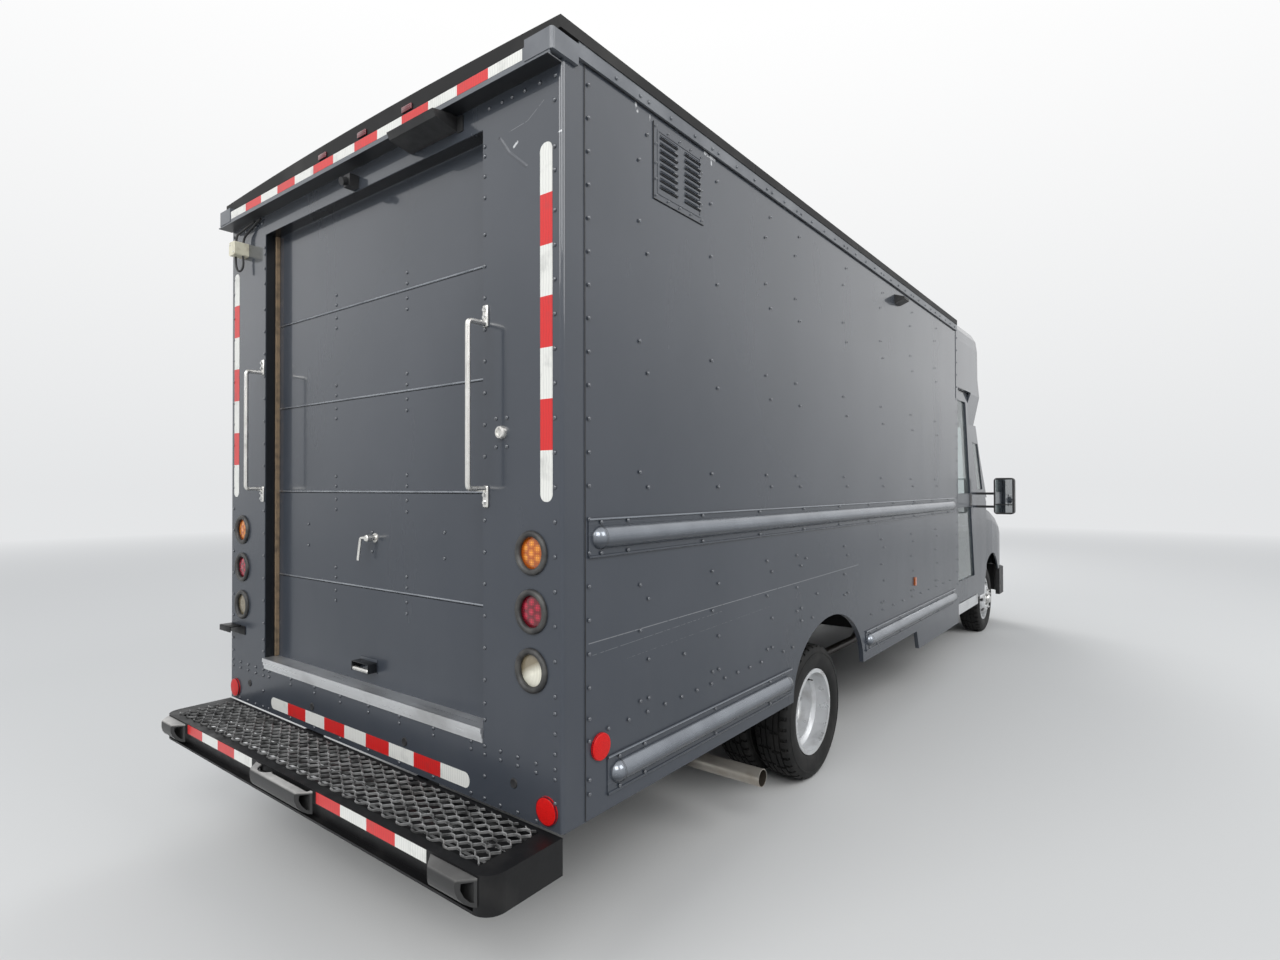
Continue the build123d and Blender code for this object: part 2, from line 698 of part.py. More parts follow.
# Camera, work lamp and side lamps under the roof edge.
camera_z = (2672, 2718)
camera_half = 22
camera_reach = 38
eye_radius = 15
eye_reach = 22
lamp_head_x = (365, 625)
lamp_plate = 30
side_lamp_offsets = (-1644, -1544)
camera = block((-camera_half, camera_half), (at(-camera_reach), at(0)), camera_z)
camera += rod((0, at(-camera_reach), camera_z[0] + 20), (0, at(-camera_reach - eye_reach), camera_z[0] + 12),
              eye_radius)
lamp_side = outline([(at(0), 2700), (at(-8), 2700), (at(-88), 2716), (at(-100), 2738), (at(-30), 2750),
                     (at(0), 2750)])
lamp_head = across(lamp_side, lamp_head_x)
lamp_head += block((lamp_head_x[1], lamp_head_x[1] + lamp_plate), (at(-4), at(0)), (2694, 2746))
side_lamp_end = outline([(body_half, 2692), (body_half + 10, 2692), (body_half + 62, 2712),
                         (body_half + 62, 2726), (body_half, 2748)])
side_lamp = along(side_lamp_end, [at(box_length + offset) for offset in side_lamp_offsets])
keep("lamp_housings", [camera, lamp_head] + both(side_lamp))
junction_inset = 119
junction_size = 62
junction_low = 2597
junction_round = 7
junction = block((junction_inset - body_half, junction_inset + junction_size - body_half),
                 (at(-junction_size), at(0)), (junction_low, junction_low + junction_size))
keep("junction_box", fillet(junction.edges().filter_by(Axis.Y), junction_round))

# Side vents: a frame with two columns of pressed louvres. Side markers sit low ahead of the arch.
vent_stations = (448, 765)
vent_z = (2505, 2770)
vent_plate = 2
vent_border = 26
border_width = 5
border_stand = 4
louvre_count = 8
louvre_pitch = 24.7
louvre_foot = 48
louvre_stand = 9
louvre_share = 0.62
louvre_spans = ((39, 143), (192, 294))
vent_y = [at(station) for station in vent_stations]
border_y = (vent_y[0] + vent_border, vent_y[1] - vent_border)
border_z = (vent_z[0] + vent_border, vent_z[1] - vent_border)
vent = block((body_half, body_half + vent_plate), vent_y, vent_z)
border = block((body_half, body_half + border_stand),
               (border_y[0] - border_width, border_y[1] + border_width),
               (border_z[0] - border_width, border_z[1] + border_width))
vent += border - block((body_half + vent_plate, body_half + border_stand + 1), border_y, border_z)
for index in range(louvre_count):
    low = vent_z[0] + louvre_foot + index * louvre_pitch
    louvre = outline([(body_half, low), (body_half + louvre_stand, low),
                      (body_half, low + louvre_pitch * louvre_share)])
    for start, end in louvre_spans:
        vent += along(louvre, (vent_y[0] + start, vent_y[0] + end))
keep("side_vents", both(vent))
marker_station = box_length - 1240
marker_size = (10, 30, 56)
marker = Pos(body_half + marker_size[0] / 2, at(marker_station), 863) * Box(*marker_size)
keep("amber_lamps", lamps[lamp_heights[0]] + both(marker))

# Rear step: a frame of angles and a recessed channel, with broad end plates and a rear lip.
step_top = 505
step_depth = 275
step_height = 108
channel_wall = 8
mesh_depth = 10
step_corner = 60
front_lip = 46
web_recess = 24
tread_rim = 34
mesh_set = 20
mesh_ledge = 13
end_plate = 76
step_half = body_half

step_low = step_top - step_height
mesh_low = step_top - mesh_depth
mesh_x = (end_plate - step_half, step_half - end_plate)
mesh_y = (at(-step_depth + tread_rim), at(-mesh_set))
recess_half = step_half - step_corner
hollow_half = step_half - channel_wall
web_y = at(-step_depth + web_recess)
step = block((-step_half, step_half), (at(-step_depth), at(0)), (step_low, step_top))
step = fillet(step.edges().filter_by(Axis.Z).group_by(Axis.Y)[0], step_corner)
step -= block(mesh_x, mesh_y, (mesh_low, step_top + 1))
step -= block(mesh_x, (mesh_y[0] + mesh_ledge, mesh_y[1] - mesh_ledge), (step_low - 1, mesh_low + 1))
step -= block((-hollow_half, hollow_half), (web_y + channel_wall, at(-channel_wall)),
              (step_low - 1, mesh_low - channel_wall))
step -= block((-recess_half, recess_half), (at(-step_depth - 1), web_y),
              (step_low + channel_wall, step_top - front_lip))
for side in (-1, 1):
    step += block(sided(side, flange_in, frame_outer), (at(-mesh_set), at(frame_rear)),
                  (step_low, frame_low))
keep("rear_bumper", step)

# The tread is expanded metal: interlocked rows of long six-sided holes.
long_way = 76
short_way = 38
bond_length = 16
strand_half = 2.5
mesh_rim = 4
mesh = block((mesh_x[0] + joint_gap, mesh_x[1] - joint_gap), (mesh_y[0] + joint_gap, mesh_y[1] - joint_gap),
             (mesh_low, step_top))
hole_x = (long_way - bond_length) / 2 - strand_half
hole_y = short_way / 2 - strand_half
flat_x = bond_length / 2 - strand_half / 2
cell = outline([(-hole_x, 0), (-flat_x, -hole_y), (flat_x, -hole_y), (hole_x, 0), (flat_x, hole_y),
                (-flat_x, hole_y)])
row_pitch = short_way / 2
rows = int((mesh_y[1] - mesh_y[0] - 2 * (hole_y + mesh_rim)) / row_pitch) + 1
cells = []
for row in range(rows):
    odd = row % 2
    shift = odd * long_way / 2
    row_y = sum(mesh_y) / 2 + (row - (rows - 1) / 2) * row_pitch
    count = int((mesh_x[1] - hole_x - mesh_rim - shift) / long_way)
    for column in range(-count - odd, count + 1):
        cells.append(Pos(column * long_way + shift, row_y) * cell)
mesh -= upward(Compound(children=cells), (mesh_low - 1, step_top + 1))
keep("step_tread", mesh)

# Hollow rubber dock bumpers on the front of the step; the middle one has a piece torn out.
dock_z = (415, 496)
dock_wall = 14
dock_depth = bumper_reach - step_depth
dock_rows = ((-240, 240), (step_half - 261, step_half - 45), (45 - step_half, 261 - step_half))
tear_radius = 46
tear_x = 20


def dock_profile(inset):
    """The bumper's D section, drawn in by the inset."""
    flat = at(-step_depth - inset)
    crest = at(-step_depth - dock_depth + inset)
    low, high = dock_z[0] + inset, dock_z[1] - inset
    with BuildSketch() as section:
        with BuildLine():
            Line((flat, low), (flat, high))
            ThreePointArc((flat, high), (crest, (low + high) / 2), (flat, low))
        make_face()
    return section.sketch


docks = []
for low, high in dock_rows:
    dock = across(dock_profile(0), (low, high)) - across(dock_profile(dock_wall), (low - 1, high + 1))
    if low < 0 < high:
        dock -= Pos(tear_x, at(-step_depth), dock_z[1]) * Cylinder(tear_radius, 2 * dock_wall)
    docks.append(dock)
keep("dock_bumpers", docks)

# Roof: a rail on each wall and a black roof skin whose edge laps over it.
roof_setback = 60
roof_tail = 20
rail_width = 40
roof_front = box_length - roof_setback
with BuildSketch() as roof_end:
    with BuildLine():
        edge = body_half + roof_lip
        Polyline((-edge, roof_z + roof_edge), (-edge, roof_z), (edge, roof_z), (edge, roof_z + roof_edge))
        ThreePointArc((edge, roof_z + roof_edge), (0, roof_z + roof_crown), (-edge, roof_z + roof_edge))
    make_face()
keep("roof_panel", along(roof_end.sketch, (at(-roof_tail), at(roof_front))))
rail_band = block((body_half - rail_width, body_half + rail_proud), (at(rear_depth), at(roof_front)),
                  (wall_top_z, roof_z))
keep("roof_rails", both(rail_band))

# Bulkhead behind the cab, with its doorway.
doorway_half = 340
doorway_top = 2560
well_x = 690
well_z = 515
bulkhead_span = (at(bulkhead_station), at(bulkhead_station + wall))
bulkhead = block((-pocket_x, pocket_x), bulkhead_span, (well_z, roof_z))
bulkhead -= block((-doorway_half, doorway_half), bulkhead_span, (floor_z, doorway_top))
bulkhead -= block((-well_x, well_x), bulkhead_span, (well_z, floor_under))
keep("bulkhead", bulkhead)

# The raked line of the cab doors' front edge, as (offset from the front axle, height).
rake_top = (-1317, 2374)
rake_foot = (-922, 475)


def rake(z, offset=0):
    """The Y of the raked door line at a height, moved forward by an offset."""
    share = (rake_top[1] - z) / (rake_top[1] - rake_foot[1])
    return fore(rake_top[0] + share * (rake_foot[0] - rake_top[0]) + offset)


# Front cap: a moulded shell with a bowed front, from the box roof down to the windshield.
cap_wall = 22
door_head_z = 2340
cap_top = roof_z + roof_edge
cap_rows = (
    # height, how far inside the body's side, corner and middle offsets from the front axle
    (2085, 95, -762, -602),
    (2330, 0, -962, -767),
    (2485, 0, -1032, -842),
    (2740, 0, -1042, -852),
    (2825, 5, -1082, -892),
    (cap_top, 28, -1142, -952),
)


def bow(half, corner, middle, rear):
    """A plan outline with straight sides and a bowed front."""
    line = Polyline((-half, corner), (-half, rear), (half, rear), (half, corner))
    front = ThreePointArc((half, corner), (0, middle), (-half, corner))
    return make_face(line.edges() + front.edges())


def cap_loft(inset, low, high):
    """The cap's plan outlines joined by straight walls, drawn in by the inset."""
    sections = []
    for z, inside, corner, middle in cap_rows:
        level = min(max(z, low), high) if z in (cap_rows[0][0], cap_rows[-1][0]) else z
        rear = at(box_length - (inset > 0))
        face = bow(body_half - inside - inset, fore(corner - inset), fore(middle - inset), rear)
        sections.append(Plane.XY.offset(level) * face)
    return loft(sections, ruled=True)


cap = cap_loft(0, cap_rows[0][0], cap_top) - cap_loft(cap_wall, cap_rows[0][0] - 1, cap_top - cap_wall)
cut_low = skirt_z - 200
doorway_cut = outline([(at(box_length - 10), cut_low), (rake(cut_low), cut_low),
                       (rake(door_head_z), door_head_z), (at(box_length - 10), door_head_z)])
cap -= across(doorway_cut, (-body_half - 1, body_half + 1))
keep("front_cap", cap)

# Windshield: one curved pane, raked back from the cowl to the cap.
glass = 6
shield_foot_z = 1400
shield_top_z = cap_rows[0][0]
shield_foot = front_station - 92
shield_top = front_station + cap_rows[0][3] - cap_wall / 2
shield_sag = 170
shield_half_foot = cab_half - 70
shield_half_top = cab_half - 125


def arc_band(half, middle, sag, thick):
    """A plan band that follows a bowed front."""
    outer = ThreePointArc((half, middle - sag), (0, middle), (-half, middle - sag))
    inner = ThreePointArc((-half, middle - sag - thick), (0, middle - thick), (half, middle - sag - thick))
    ends = [Line(outer @ 1, inner @ 0), Line(inner @ 1, outer @ 0)]
    return make_face([outer.edge(), inner.edge()] + [end.edge() for end in ends])


def raked(face, low, high):
    """A plan shape pushed up along the windshield's rake."""
    slope = (shield_top - shield_foot) / (shield_top_z - shield_foot_z)
    start = Plane.XY.offset(low) * Pos(0, slope * (low - shield_foot_z)) * face
    rise = high - low
    return extrude(start, amount=rise * sqrt(1 + slope ** 2), dir=(0, slope, 1))


pane_band = arc_band(shield_half_foot + 60, at(shield_foot), shield_sag, glass)
pane = raked(pane_band, shield_foot_z, shield_top_z)
pane_front = outline([(-shield_half_foot, shield_foot_z - 1), (shield_half_foot, shield_foot_z - 1),
                      (shield_half_top, shield_top_z + 1), (-shield_half_top, shield_top_z + 1)])
pane &= along(pane_front, (at(0), fore(front_overhang)))

# Cab sides: a post plate each side with its quarter window, and the windshield pillar.
cab_plate = 30
belt_z = 1400
fender_offset = -312
sill_line = skirt_z - 60
wheel_arch_z = 395
wheel_arch = 425
quarter = outline([(fore(-917), 1925), (fore(-692), 1915), (fore(-482), 1485), (fore(-692), 1475)])
plate_points = [(rake(sill_line, 8), sill_line), (fore(fender_offset), sill_line),
                (fore(fender_offset), belt_z - 40), (fore(fender_offset - 40), belt_z),
                (fore(-767), shield_top_z), (rake(shield_top_z, 8), shield_top_z)]
plate = across(outline(plate_points), (cab_half - cab_plate, cab_half))
plate -= across(quarter, (cab_half - cab_plate - 1, cab_half + 1))
arch_space = Pos(0, front_axle_y, wheel_arch_z) * Rot(0, 90, 0) * Cylinder(wheel_arch, 2 * body_half)
plate -= arch_space
quarter_x = cab_half - cab_plate / 2
keep("cab_windows", [pane] + both(across(quarter, (quarter_x, quarter_x + glass))))

pillar_foot = [(cab_half, fore(-392)), (cab_half, fore(-287)), (shield_half_foot, fore(-241)),
               (shield_half_foot, fore(-342))]
pillar_top = [(cab_half - 10, fore(-807)), (cab_half - 10, fore(-757)), (shield_half_top, fore(-747)),
              (shield_half_top, fore(-832))]
pillar = loft([Plane.XY.offset(shield_foot_z) * outline(pillar_foot),
               Plane.XY.offset(shield_top_z) * outline(pillar_top)], ruled=True)
cab_side = plate + pillar - pane
cab_side -= across(quarter, (shield_half_top, cab_half + 1))

# Cowl and fire wall, below the windshield.
cowl_depth = 20
cowl_front = -56
firewall_offset = -432
firewall_thick = 20
cowl_half = cab_half - cab_plate
cowl_plan = bow(cowl_half, fore(fender_offset + 60), fore(cowl_front), fore(firewall_offset))
cowl = upward(cowl_plan, (shield_foot_z - cowl_depth, shield_foot_z))
firewall = block((-cowl_half, cowl_half), (fore(firewall_offset), fore(firewall_offset + firewall_thick)),
                 (frame_top, shield_foot_z - cowl_depth))
firewall -= Pos(0, front_axle_y, wheel_arch_z) * Rot(0, 90, 0) * Cylinder(wheel_arch + 60, 2 * body_half)
keep("cab_body", cowl + firewall + cab_side + mirror(cab_side, about=Plane.YZ))

# Nose: fenders and front panel as one curved shell, with the hood cut out of it.
nose_wall = 14
hood_lip = 6
hood_lip_width = 25
nose_low = 620
nose_crown_share = 0.45
nose_crown_drop = 12
nose_rows = (
    # offset from the front axle, inset from the cab's side, shoulder height, second shoulder in and
    # height, third in and height, crown height
    (-312, 10, 1190, 30, 1300, 130, 1362, 1400),
    (8, 4, 1150, 34, 1250, 140, 1318, 1365),
    (408, 18, 1065, 36, 1160, 145, 1228, 1285),
    (708, 62, 985, 40, 1070, 150, 1128, 1185),
    (908, 164, 900, 40, 965, 140, 1012, 1070),
)
nose_front = nose_rows[-1][0]


def nose_loft(inset, low):
    """The nose's cross sections joined by straight walls, drawn in by the inset."""
    sections = []
    for index, (offset, inside, z1, in2, z2, in3, z3, crown) in enumerate(nose_rows):
        end = -1 if inset > 0 and index in (0, len(nose_rows) - 1) else 0
        shift = end if index == 0 else end * inset
        half = cab_half - inside
        right = [(half, low), (half, z1), (half - in2, z2), (half - in3, z3),
                 (half * nose_crown_share, crown - nose_crown_drop)]
        points = [(max(x - inset, 10), z - inset * (z > low)) for x, z in right]
        points += [(-x, z) for x, z in reversed(points)]
        sections.append(Plane.XZ.offset(-fore(offset + shift)) * outline(points))
    return loft(sections, ruled=True)


nose_solid = nose_loft(0, nose_low)
nose = nose_solid - nose_loft(nose_wall, nose_low - 1)
nose -= arch_space
hood_rows = (
    # half width, offset from the front axle
    (850, -48),
    (850, 158),
    (740, 738),
    (560, 838),
)


def hood_outline(grow):
    """The hood's plan, grown by its gap."""
    right = [(x + grow, fore(offset)) for x, offset in hood_rows]
    right[0] = (right[0][0], fore(hood_rows[0][1] - grow))
    right[-1] = (right[-1][0], fore(hood_rows[-1][1] + grow))
    return outline(right + [(-x, y) for x, y in reversed(right)])


hood_depth = (nose_low + 200, nose_low + 880)
hood = (nose_solid - nose_loft(nose_wall - joint_gap, nose_low - 1)) & upward(hood_outline(0), hood_depth)
nose -= upward(hood_outline(move_gap), hood_depth)
lip = nose_loft(nose_wall, nose_low) - nose_loft(nose_wall + hood_lip, nose_low)
lip &= upward(hood_outline(hood_lip_width), hood_depth)
nose += lip - upward(hood_outline(-hood_lip_width), hood_depth)
nose -= upward(cowl_plan, (shield_foot_z - cowl_depth - 80, shield_foot_z + 80))

# Headlamps cut from the nose's corners, and a barred grille between them.
headlamp_x = (560, 960)
headlamp_offsets = (698, 928)
headlamp_z = (800, 975)
grille_half = 500
grille_z = (680, 960)
grille_rim = 25
grille_set = 4
bar_count = 5
bar_height = 14
lamp_box = block(headlamp_x, [fore(offset) for offset in headlamp_offsets], headlamp_z)
headlamps = both(nose & lamp_box)
for lamp_piece in both(lamp_box):
    nose -= lamp_piece
grille_back = fore(nose_front - nose_wall)
nose -= block((-grille_half, grille_half), (grille_back, fore(nose_front + 20)), grille_z)
keep("fenders", nose)
keep("hood", hood)
keep("headlamps", headlamps)

grille = block((-grille_half, grille_half), (grille_back, fore(nose_front - grille_set)), grille_z)
slot_pitch = (grille_z[1] - grille_z[0] - 30) / bar_count
for index in range(bar_count):
    low = grille_z[0] + 20 + index * slot_pitch
    for side in (-1, 1):
        grille -= block(sided(side, 20, grille_half - grille_rim), (grille_back - 1, fore(nose_front)),
                        (low, low + slot_pitch - bar_height))
keep("grille", grille)

# Front bumper: a hollow moulding round the nose, on two stubs of the frame.
bumper_z = (330, nose_low)
bumper_skin = 40
bumper_rows = (
    # how far inside the cab's side, offset from the front axle
    (22, 468),
    (22, 678),
    (100, 848),
    (390, 978),
)
bumper_tie = 90


def bumper_plan(inset):
    """The bumper's plan, drawn in by the inset."""
    right = [(cab_half - inside - inset, fore(offset - inset * (index > 1)))
             for index, (inside, offset) in enumerate(bumper_rows)]
    right[0] = (right[0][0], right[0][1] - (inset > 0))
    right[-1] = (right[-1][0] + inset / 2, right[-1][1])
    line = Polyline(*right)
    front = ThreePointArc(right[-1], (0, fore(front_overhang - inset)), (-right[-1][0], right[-1][1]))
    left = Polyline(*[(-x, y) for x, y in reversed(right)])
    rear_line = Line(left @ 1, line @ 0)
    return make_face(line.edges() + front.edges() + left.edges() + rear_line.edges())


bumper = upward(bumper_plan(0), bumper_z)
bumper -= upward(bumper_plan(bumper_skin), (bumper_z[0] - 1, bumper_z[1] + 1))
tie = block((-frame_outer, frame_outer), (fore(frame_front), fore(front_overhang)),
            (frame_low, frame_low + bumper_tie))
bumper += tie & upward(bumper_plan(bumper_skin / 2), bumper_z)
keep("front_bumper", bumper)

# Cab floor with a step well each side, and the bright steps under the doors.
riser = 5
step_end = -932
step_face = 90
step_sheet = 5
step_stand = 2
step_out = door_outer_x + step_stand
well_span = (bulkhead_span[1] + joint_gap, fore(step_end))
cab_floor = block((-well_x, well_x), (well_span[0], fore(firewall_offset)), (floor_under, floor_z))
for side in (-1, 1):
    cab_floor += block(sided(side, well_x - riser, well_x), well_span, (well_z, floor_under))
keep("cab_floor", cab_floor)
step_side = block((well_x, step_out), well_span, (well_z - step_face, well_z))
step_side -= block((well_x - 1, step_out - step_sheet), (well_span[0] - 1, well_span[1] + 1),
                   (well_z - step_face - 1, well_z - step_sheet))
keep("side_steps", both(step_side))

# Cab doors: glazed panels that hang in tracks by a tongue and slide back beside the cargo floor.
door_set = 14
door_clear = 8
door_rail = 75
door_stile = 85
door_z = (well_z + move_gap, door_head_z - 10)
door_windows = ((700, 1330), (1450, 2250))
tongue = 10
tongue_height = 22
track_wall = 8

door_rear = at(box_length - door_set)


def door_pane(low, high):
    """A window outline that follows the raked edge."""
    return outline([(door_rear + door_stile, low), (rake(low, -door_clear - door_rail), low),
                    (rake(high, -door_clear - door_rail), high), (door_rear + door_stile, high)])


door_outline = outline([(door_rear, door_z[0]), (rake(door_z[0], -door_clear), door_z[0]),
                        (rake(door_z[1], -door_clear), door_z[1]), (door_rear, door_z[1])])
door = across(door_outline, (door_inner_x, door_outer_x))
pane_x = (door_inner_x + door_thick * 0.4, door_inner_x + door_thick * 0.4 + glass)
panes = []
for low, high in door_windows:
    door -= across(door_pane(low, high), (door_inner_x - 1, door_outer_x + 1))
    panes.append(across(door_pane(low, high), pane_x))
tongue_x = ((door_inner_x + door_outer_x - tongue) / 2, (door_inner_x + door_outer_x + tongue) / 2)
tongue_span = (door_rear, rake(door_z[1], -door_clear))
tongue_top = door_z[1] + tongue_height
door += block(tongue_x, tongue_span, (door_z[1], tongue_top))
track_rear = door_rear - door_travel
track = block((tongue_x[0] - track_wall, wall_inner), (track_rear, tongue_span[1]),
              (door_head_z, tongue_top + track_wall))
track -= block((tongue_x[0] - joint_gap, tongue_x[1] + joint_gap), (track_rear - 1, tongue_span[1] + 1),
               (door_head_z - 1, tongue_top + joint_gap))
keep("door_tracks", both(track))
for name, piece in zip(("cab_door_right", "cab_door_left"), both(door)):
    keep(name, piece)
keep("door_glass_right", panes)
keep("door_glass_left", [mirror(piece, about=Plane.YZ) for piece in panes])

# Mirrors: a shell with a split glass, on a tube hoop from the cab side.
mirror_x = (cab_half + 150, cab_half + 320)
mirror_offsets = (-752, -672)
mirror_z = (1250, 1590)
mirror_round = 30
mirror_rim = 14
mirror_split = 1340
split_gap = 4
hoop_radius = 11
hoop_half = 62
hoop_bend = 25
hoop_z = 1381
hoop_offset = -715
mirror_y = [fore(offset) for offset in mirror_offsets]
shell_z = (mirror_z[0] + mirror_rim + 2, mirror_z[1] - mirror_rim - 2)
shell_x = (mirror_x[0] + mirror_rim, mirror_x[1] - mirror_rim)
head = fillet(block(mirror_x, mirror_y, mirror_z).edges().filter_by(Axis.Y), mirror_round)
head -= block(shell_x, (mirror_y[0] - 1, mirror_y[0] + 4), shell_z)
hoop_reach = mirror_x[0] + 40
hoop_corners = ((cab_half, -hoop_half), (hoop_reach, -hoop_half), (hoop_reach, hoop_half),
                (cab_half, hoop_half))
hoop = pipe([(x, fore(hoop_offset), hoop_z + rise) for x, rise in hoop_corners], [hoop_bend, hoop_bend],
            hoop_radius)
keep("mirrors", both(head + hoop))
glass_pieces = []
for low, high in ((shell_z[0], mirror_split - split_gap), (mirror_split + split_gap, shell_z[1])):
    glass_pieces += both(block(shell_x, (mirror_y[0] + 1, mirror_y[0] + 4), (low, high)))
keep("mirror_glass", glass_pieces)

# Inside the cab: dashboard, steering wheel and the driver's seat.
dash_half = cab_half - 90
driver_x = -400
wheel_radius = 190
wheel_rim = 14
column_radius = 24
spoke_width = 36
spoke_thick = 16
dash = across(outline([(fore(-692), 1080), (fore(firewall_offset), 1000), (fore(firewall_offset), 1380),
                       (fore(-592), 1370), (fore(-722), 1250)]), (-dash_half, dash_half))
keep("dashboard", dash)
wheel_centre = (driver_x, fore(-902), 1290)
column_end = (driver_x, fore(-692), 1170)
column = rod(wheel_centre, column_end, column_radius) - dash
ring_plane = Plane(origin=wheel_centre, z_dir=Vector(*wheel_centre) - Vector(*column_end))
ring = ring_plane * Torus(wheel_radius, wheel_rim)
spoke_span = 2 * wheel_radius - 10
spoke = Box(spoke_span, spoke_width, spoke_thick)
spoke += Pos(0, -wheel_radius / 2, 0) * Box(spoke_width, wheel_radius - 10, spoke_thick)
keep("steering_wheel", column + ring + ring_plane * spoke)

seat_rows = (
    # half width, rear and front offsets, how far its bottom and top are above the floor
    (200, -1532, -1132, 0, 260),
    (240, -1572, -1072, 260, 380),
)
back_half = 220
seat = None
for half, rear_offset, front_offset, low, high in seat_rows:
    layer = block((driver_x - half, driver_x + half), (fore(rear_offset), fore(front_offset)),
                  (floor_z + low, floor_z + high))
    seat = layer if seat is None else seat + layer
back_low, back_high = floor_z + seat_rows[1][4], floor_z + 1050
seat += across(outline([(fore(-1572), back_low), (fore(-1452), back_low), (fore(-1562), back_high),
                        (fore(-1662), back_high)]), (driver_x - back_half, driver_x + back_half))
keep("driver_seat", seat)

os.makedirs("parts", exist_ok=True)
for name, piece in nodes.items():
    export_step(piece, f"parts/{name}.step")
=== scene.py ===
import bmesh
import bpy
import math
from mathutils import Matrix, Vector


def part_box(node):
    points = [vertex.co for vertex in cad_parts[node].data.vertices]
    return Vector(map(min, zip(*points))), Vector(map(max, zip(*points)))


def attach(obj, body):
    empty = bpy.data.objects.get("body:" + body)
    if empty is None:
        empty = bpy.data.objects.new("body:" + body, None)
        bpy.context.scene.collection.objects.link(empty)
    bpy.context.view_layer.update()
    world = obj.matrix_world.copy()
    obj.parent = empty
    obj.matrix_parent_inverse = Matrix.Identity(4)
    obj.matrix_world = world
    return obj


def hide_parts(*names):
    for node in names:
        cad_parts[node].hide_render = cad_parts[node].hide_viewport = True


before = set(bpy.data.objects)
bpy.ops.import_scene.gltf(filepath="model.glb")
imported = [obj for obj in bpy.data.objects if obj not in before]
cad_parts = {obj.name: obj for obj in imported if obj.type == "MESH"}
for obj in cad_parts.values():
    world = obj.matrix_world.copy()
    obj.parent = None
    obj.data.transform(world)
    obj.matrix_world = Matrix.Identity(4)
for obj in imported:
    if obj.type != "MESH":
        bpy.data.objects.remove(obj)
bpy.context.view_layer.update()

# Place and light
# The van stands on a plain pale floor under large soft lamps. The camera stands behind its
# right rear corner, at about the height of the rear lamps, and looks slightly to the left.
REAR_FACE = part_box("rear_frame")[0].y
CAMERA_PLACE = (2.4995, REAR_FACE - 1.4514, 1.517)
CAMERA_YAW = math.radians(37.48)
CAMERA_PITCH = math.radians(0.54)
CAMERA_ROLL = math.radians(-0.13)
CAMERA_LENS = 19.447
SENSOR_WIDTH = 36.0
FLOOR_SIZE = 400.0
FLOOR_COLOUR = (0.62, 0.62, 0.61, 1)
FAR_COLOUR = (0.78, 0.79, 0.80, 1)
TOP_COLOUR = (1.0, 1.0, 1.0, 1)
FADE_START = 6.0
FADE_END = 24.0
SKY_HIGH = (0.86, 0.90, 0.96, 1)
SKY_LOW = (0.34, 0.35, 0.37, 1)
SKY_STRENGTH = 0.66
SKY_END = 0.6
TOP_END = 0.55
LAMPS = (
    # name, place, aim, size, watts
    ("key_lamp", (9.0, -11.0, 10.0), (0.0, -2.5, 1.2), 8.0, 1000),
    ("rear_lamp", (-1.5, -15.0, 9.5), (0.0, -3.5, 1.4), 8.0, 850),
    ("side_lamp", (13.0, 1.0, 9.0), (0.5, 0.0, 1.2), 8.0, 700),
    ("front_lamp", (-7.0, 10.0, 8.0), (0.0, 2.0, 1.4), 7.0, 800),
)

level_ahead = Vector((-math.sin(CAMERA_YAW), math.cos(CAMERA_YAW), 0))
ahead = math.cos(CAMERA_PITCH) * level_ahead + math.sin(CAMERA_PITCH) * Vector((0, 0, 1))
level_right = Vector((math.cos(CAMERA_YAW), math.sin(CAMERA_YAW), 0))
level_up = level_right.cross(ahead)
camera_right = math.cos(CAMERA_ROLL) * level_right + math.sin(CAMERA_ROLL) * level_up
camera_up = math.cos(CAMERA_ROLL) * level_up - math.sin(CAMERA_ROLL) * level_right
turn = Matrix((camera_right, camera_up, -ahead)).transposed()
bpy.ops.object.camera_add(location=CAMERA_PLACE, rotation=turn.to_euler())
camera = bpy.context.object
camera.name = "photo_camera"
camera.data.lens = CAMERA_LENS
camera.data.sensor_width = SENSOR_WIDTH
camera.data.sensor_fit = "HORIZONTAL"
camera.data.clip_end = FLOOR_SIZE
bpy.context.scene.camera = camera
bpy.context.scene.view_settings.view_transform = "Standard"

for lamp_name, lamp_place, lamp_aim, lamp_size, lamp_watts in LAMPS:
    look = (Vector(lamp_aim) - Vector(lamp_place)).to_track_quat("-Z", "Y").to_euler()
    bpy.ops.object.light_add(type="AREA", location=lamp_place, rotation=look)
    lamp = bpy.context.object
    lamp.name = lamp_name
    lamp.data.size = lamp_size
    lamp.data.energy = lamp_watts



def new_finish(name, colour, rough, metal=0.0, coat=0.0, gloss=0.5):
    """A material with the plain values of its surface shader."""
    made = bpy.data.materials.new(name)
    made.use_nodes = True
    shader = made.node_tree.nodes["Principled BSDF"]
    shader.inputs["Base Color"].default_value = (*colour[:3], 1)
    shader.inputs["Roughness"].default_value = rough
    shader.inputs["Metallic"].default_value = metal
    shader.inputs["Coat Weight"].default_value = coat
    shader.inputs["Coat Roughness"].default_value = 0.04
    shader.inputs["Specular IOR Level"].default_value = gloss
    return made


def add_node(made, kind, **values):
    """A node of a material, with its inputs or settings given by name."""
    node = made.node_tree.nodes.new(kind)
    for key, value in values.items():
        if key in node.inputs:
            node.inputs[key].default_value = value
        else:
            setattr(node, key, value)
    return node


def join_up(made, source, target):
    """Links one socket to another."""
    made.node_tree.links.new(source, target)


def object_place(made, scale=(1, 1, 1), offset=(0, 0, 0)):
    """The object's own coordinates in metres, moved and stretched."""
    place = add_node(made, "ShaderNodeTexCoord")
    stretch = add_node(made, "ShaderNodeMapping", Scale=scale, Location=offset)
    join_up(made, place.outputs["Object"], stretch.inputs["Vector"])
    return stretch.outputs["Vector"]


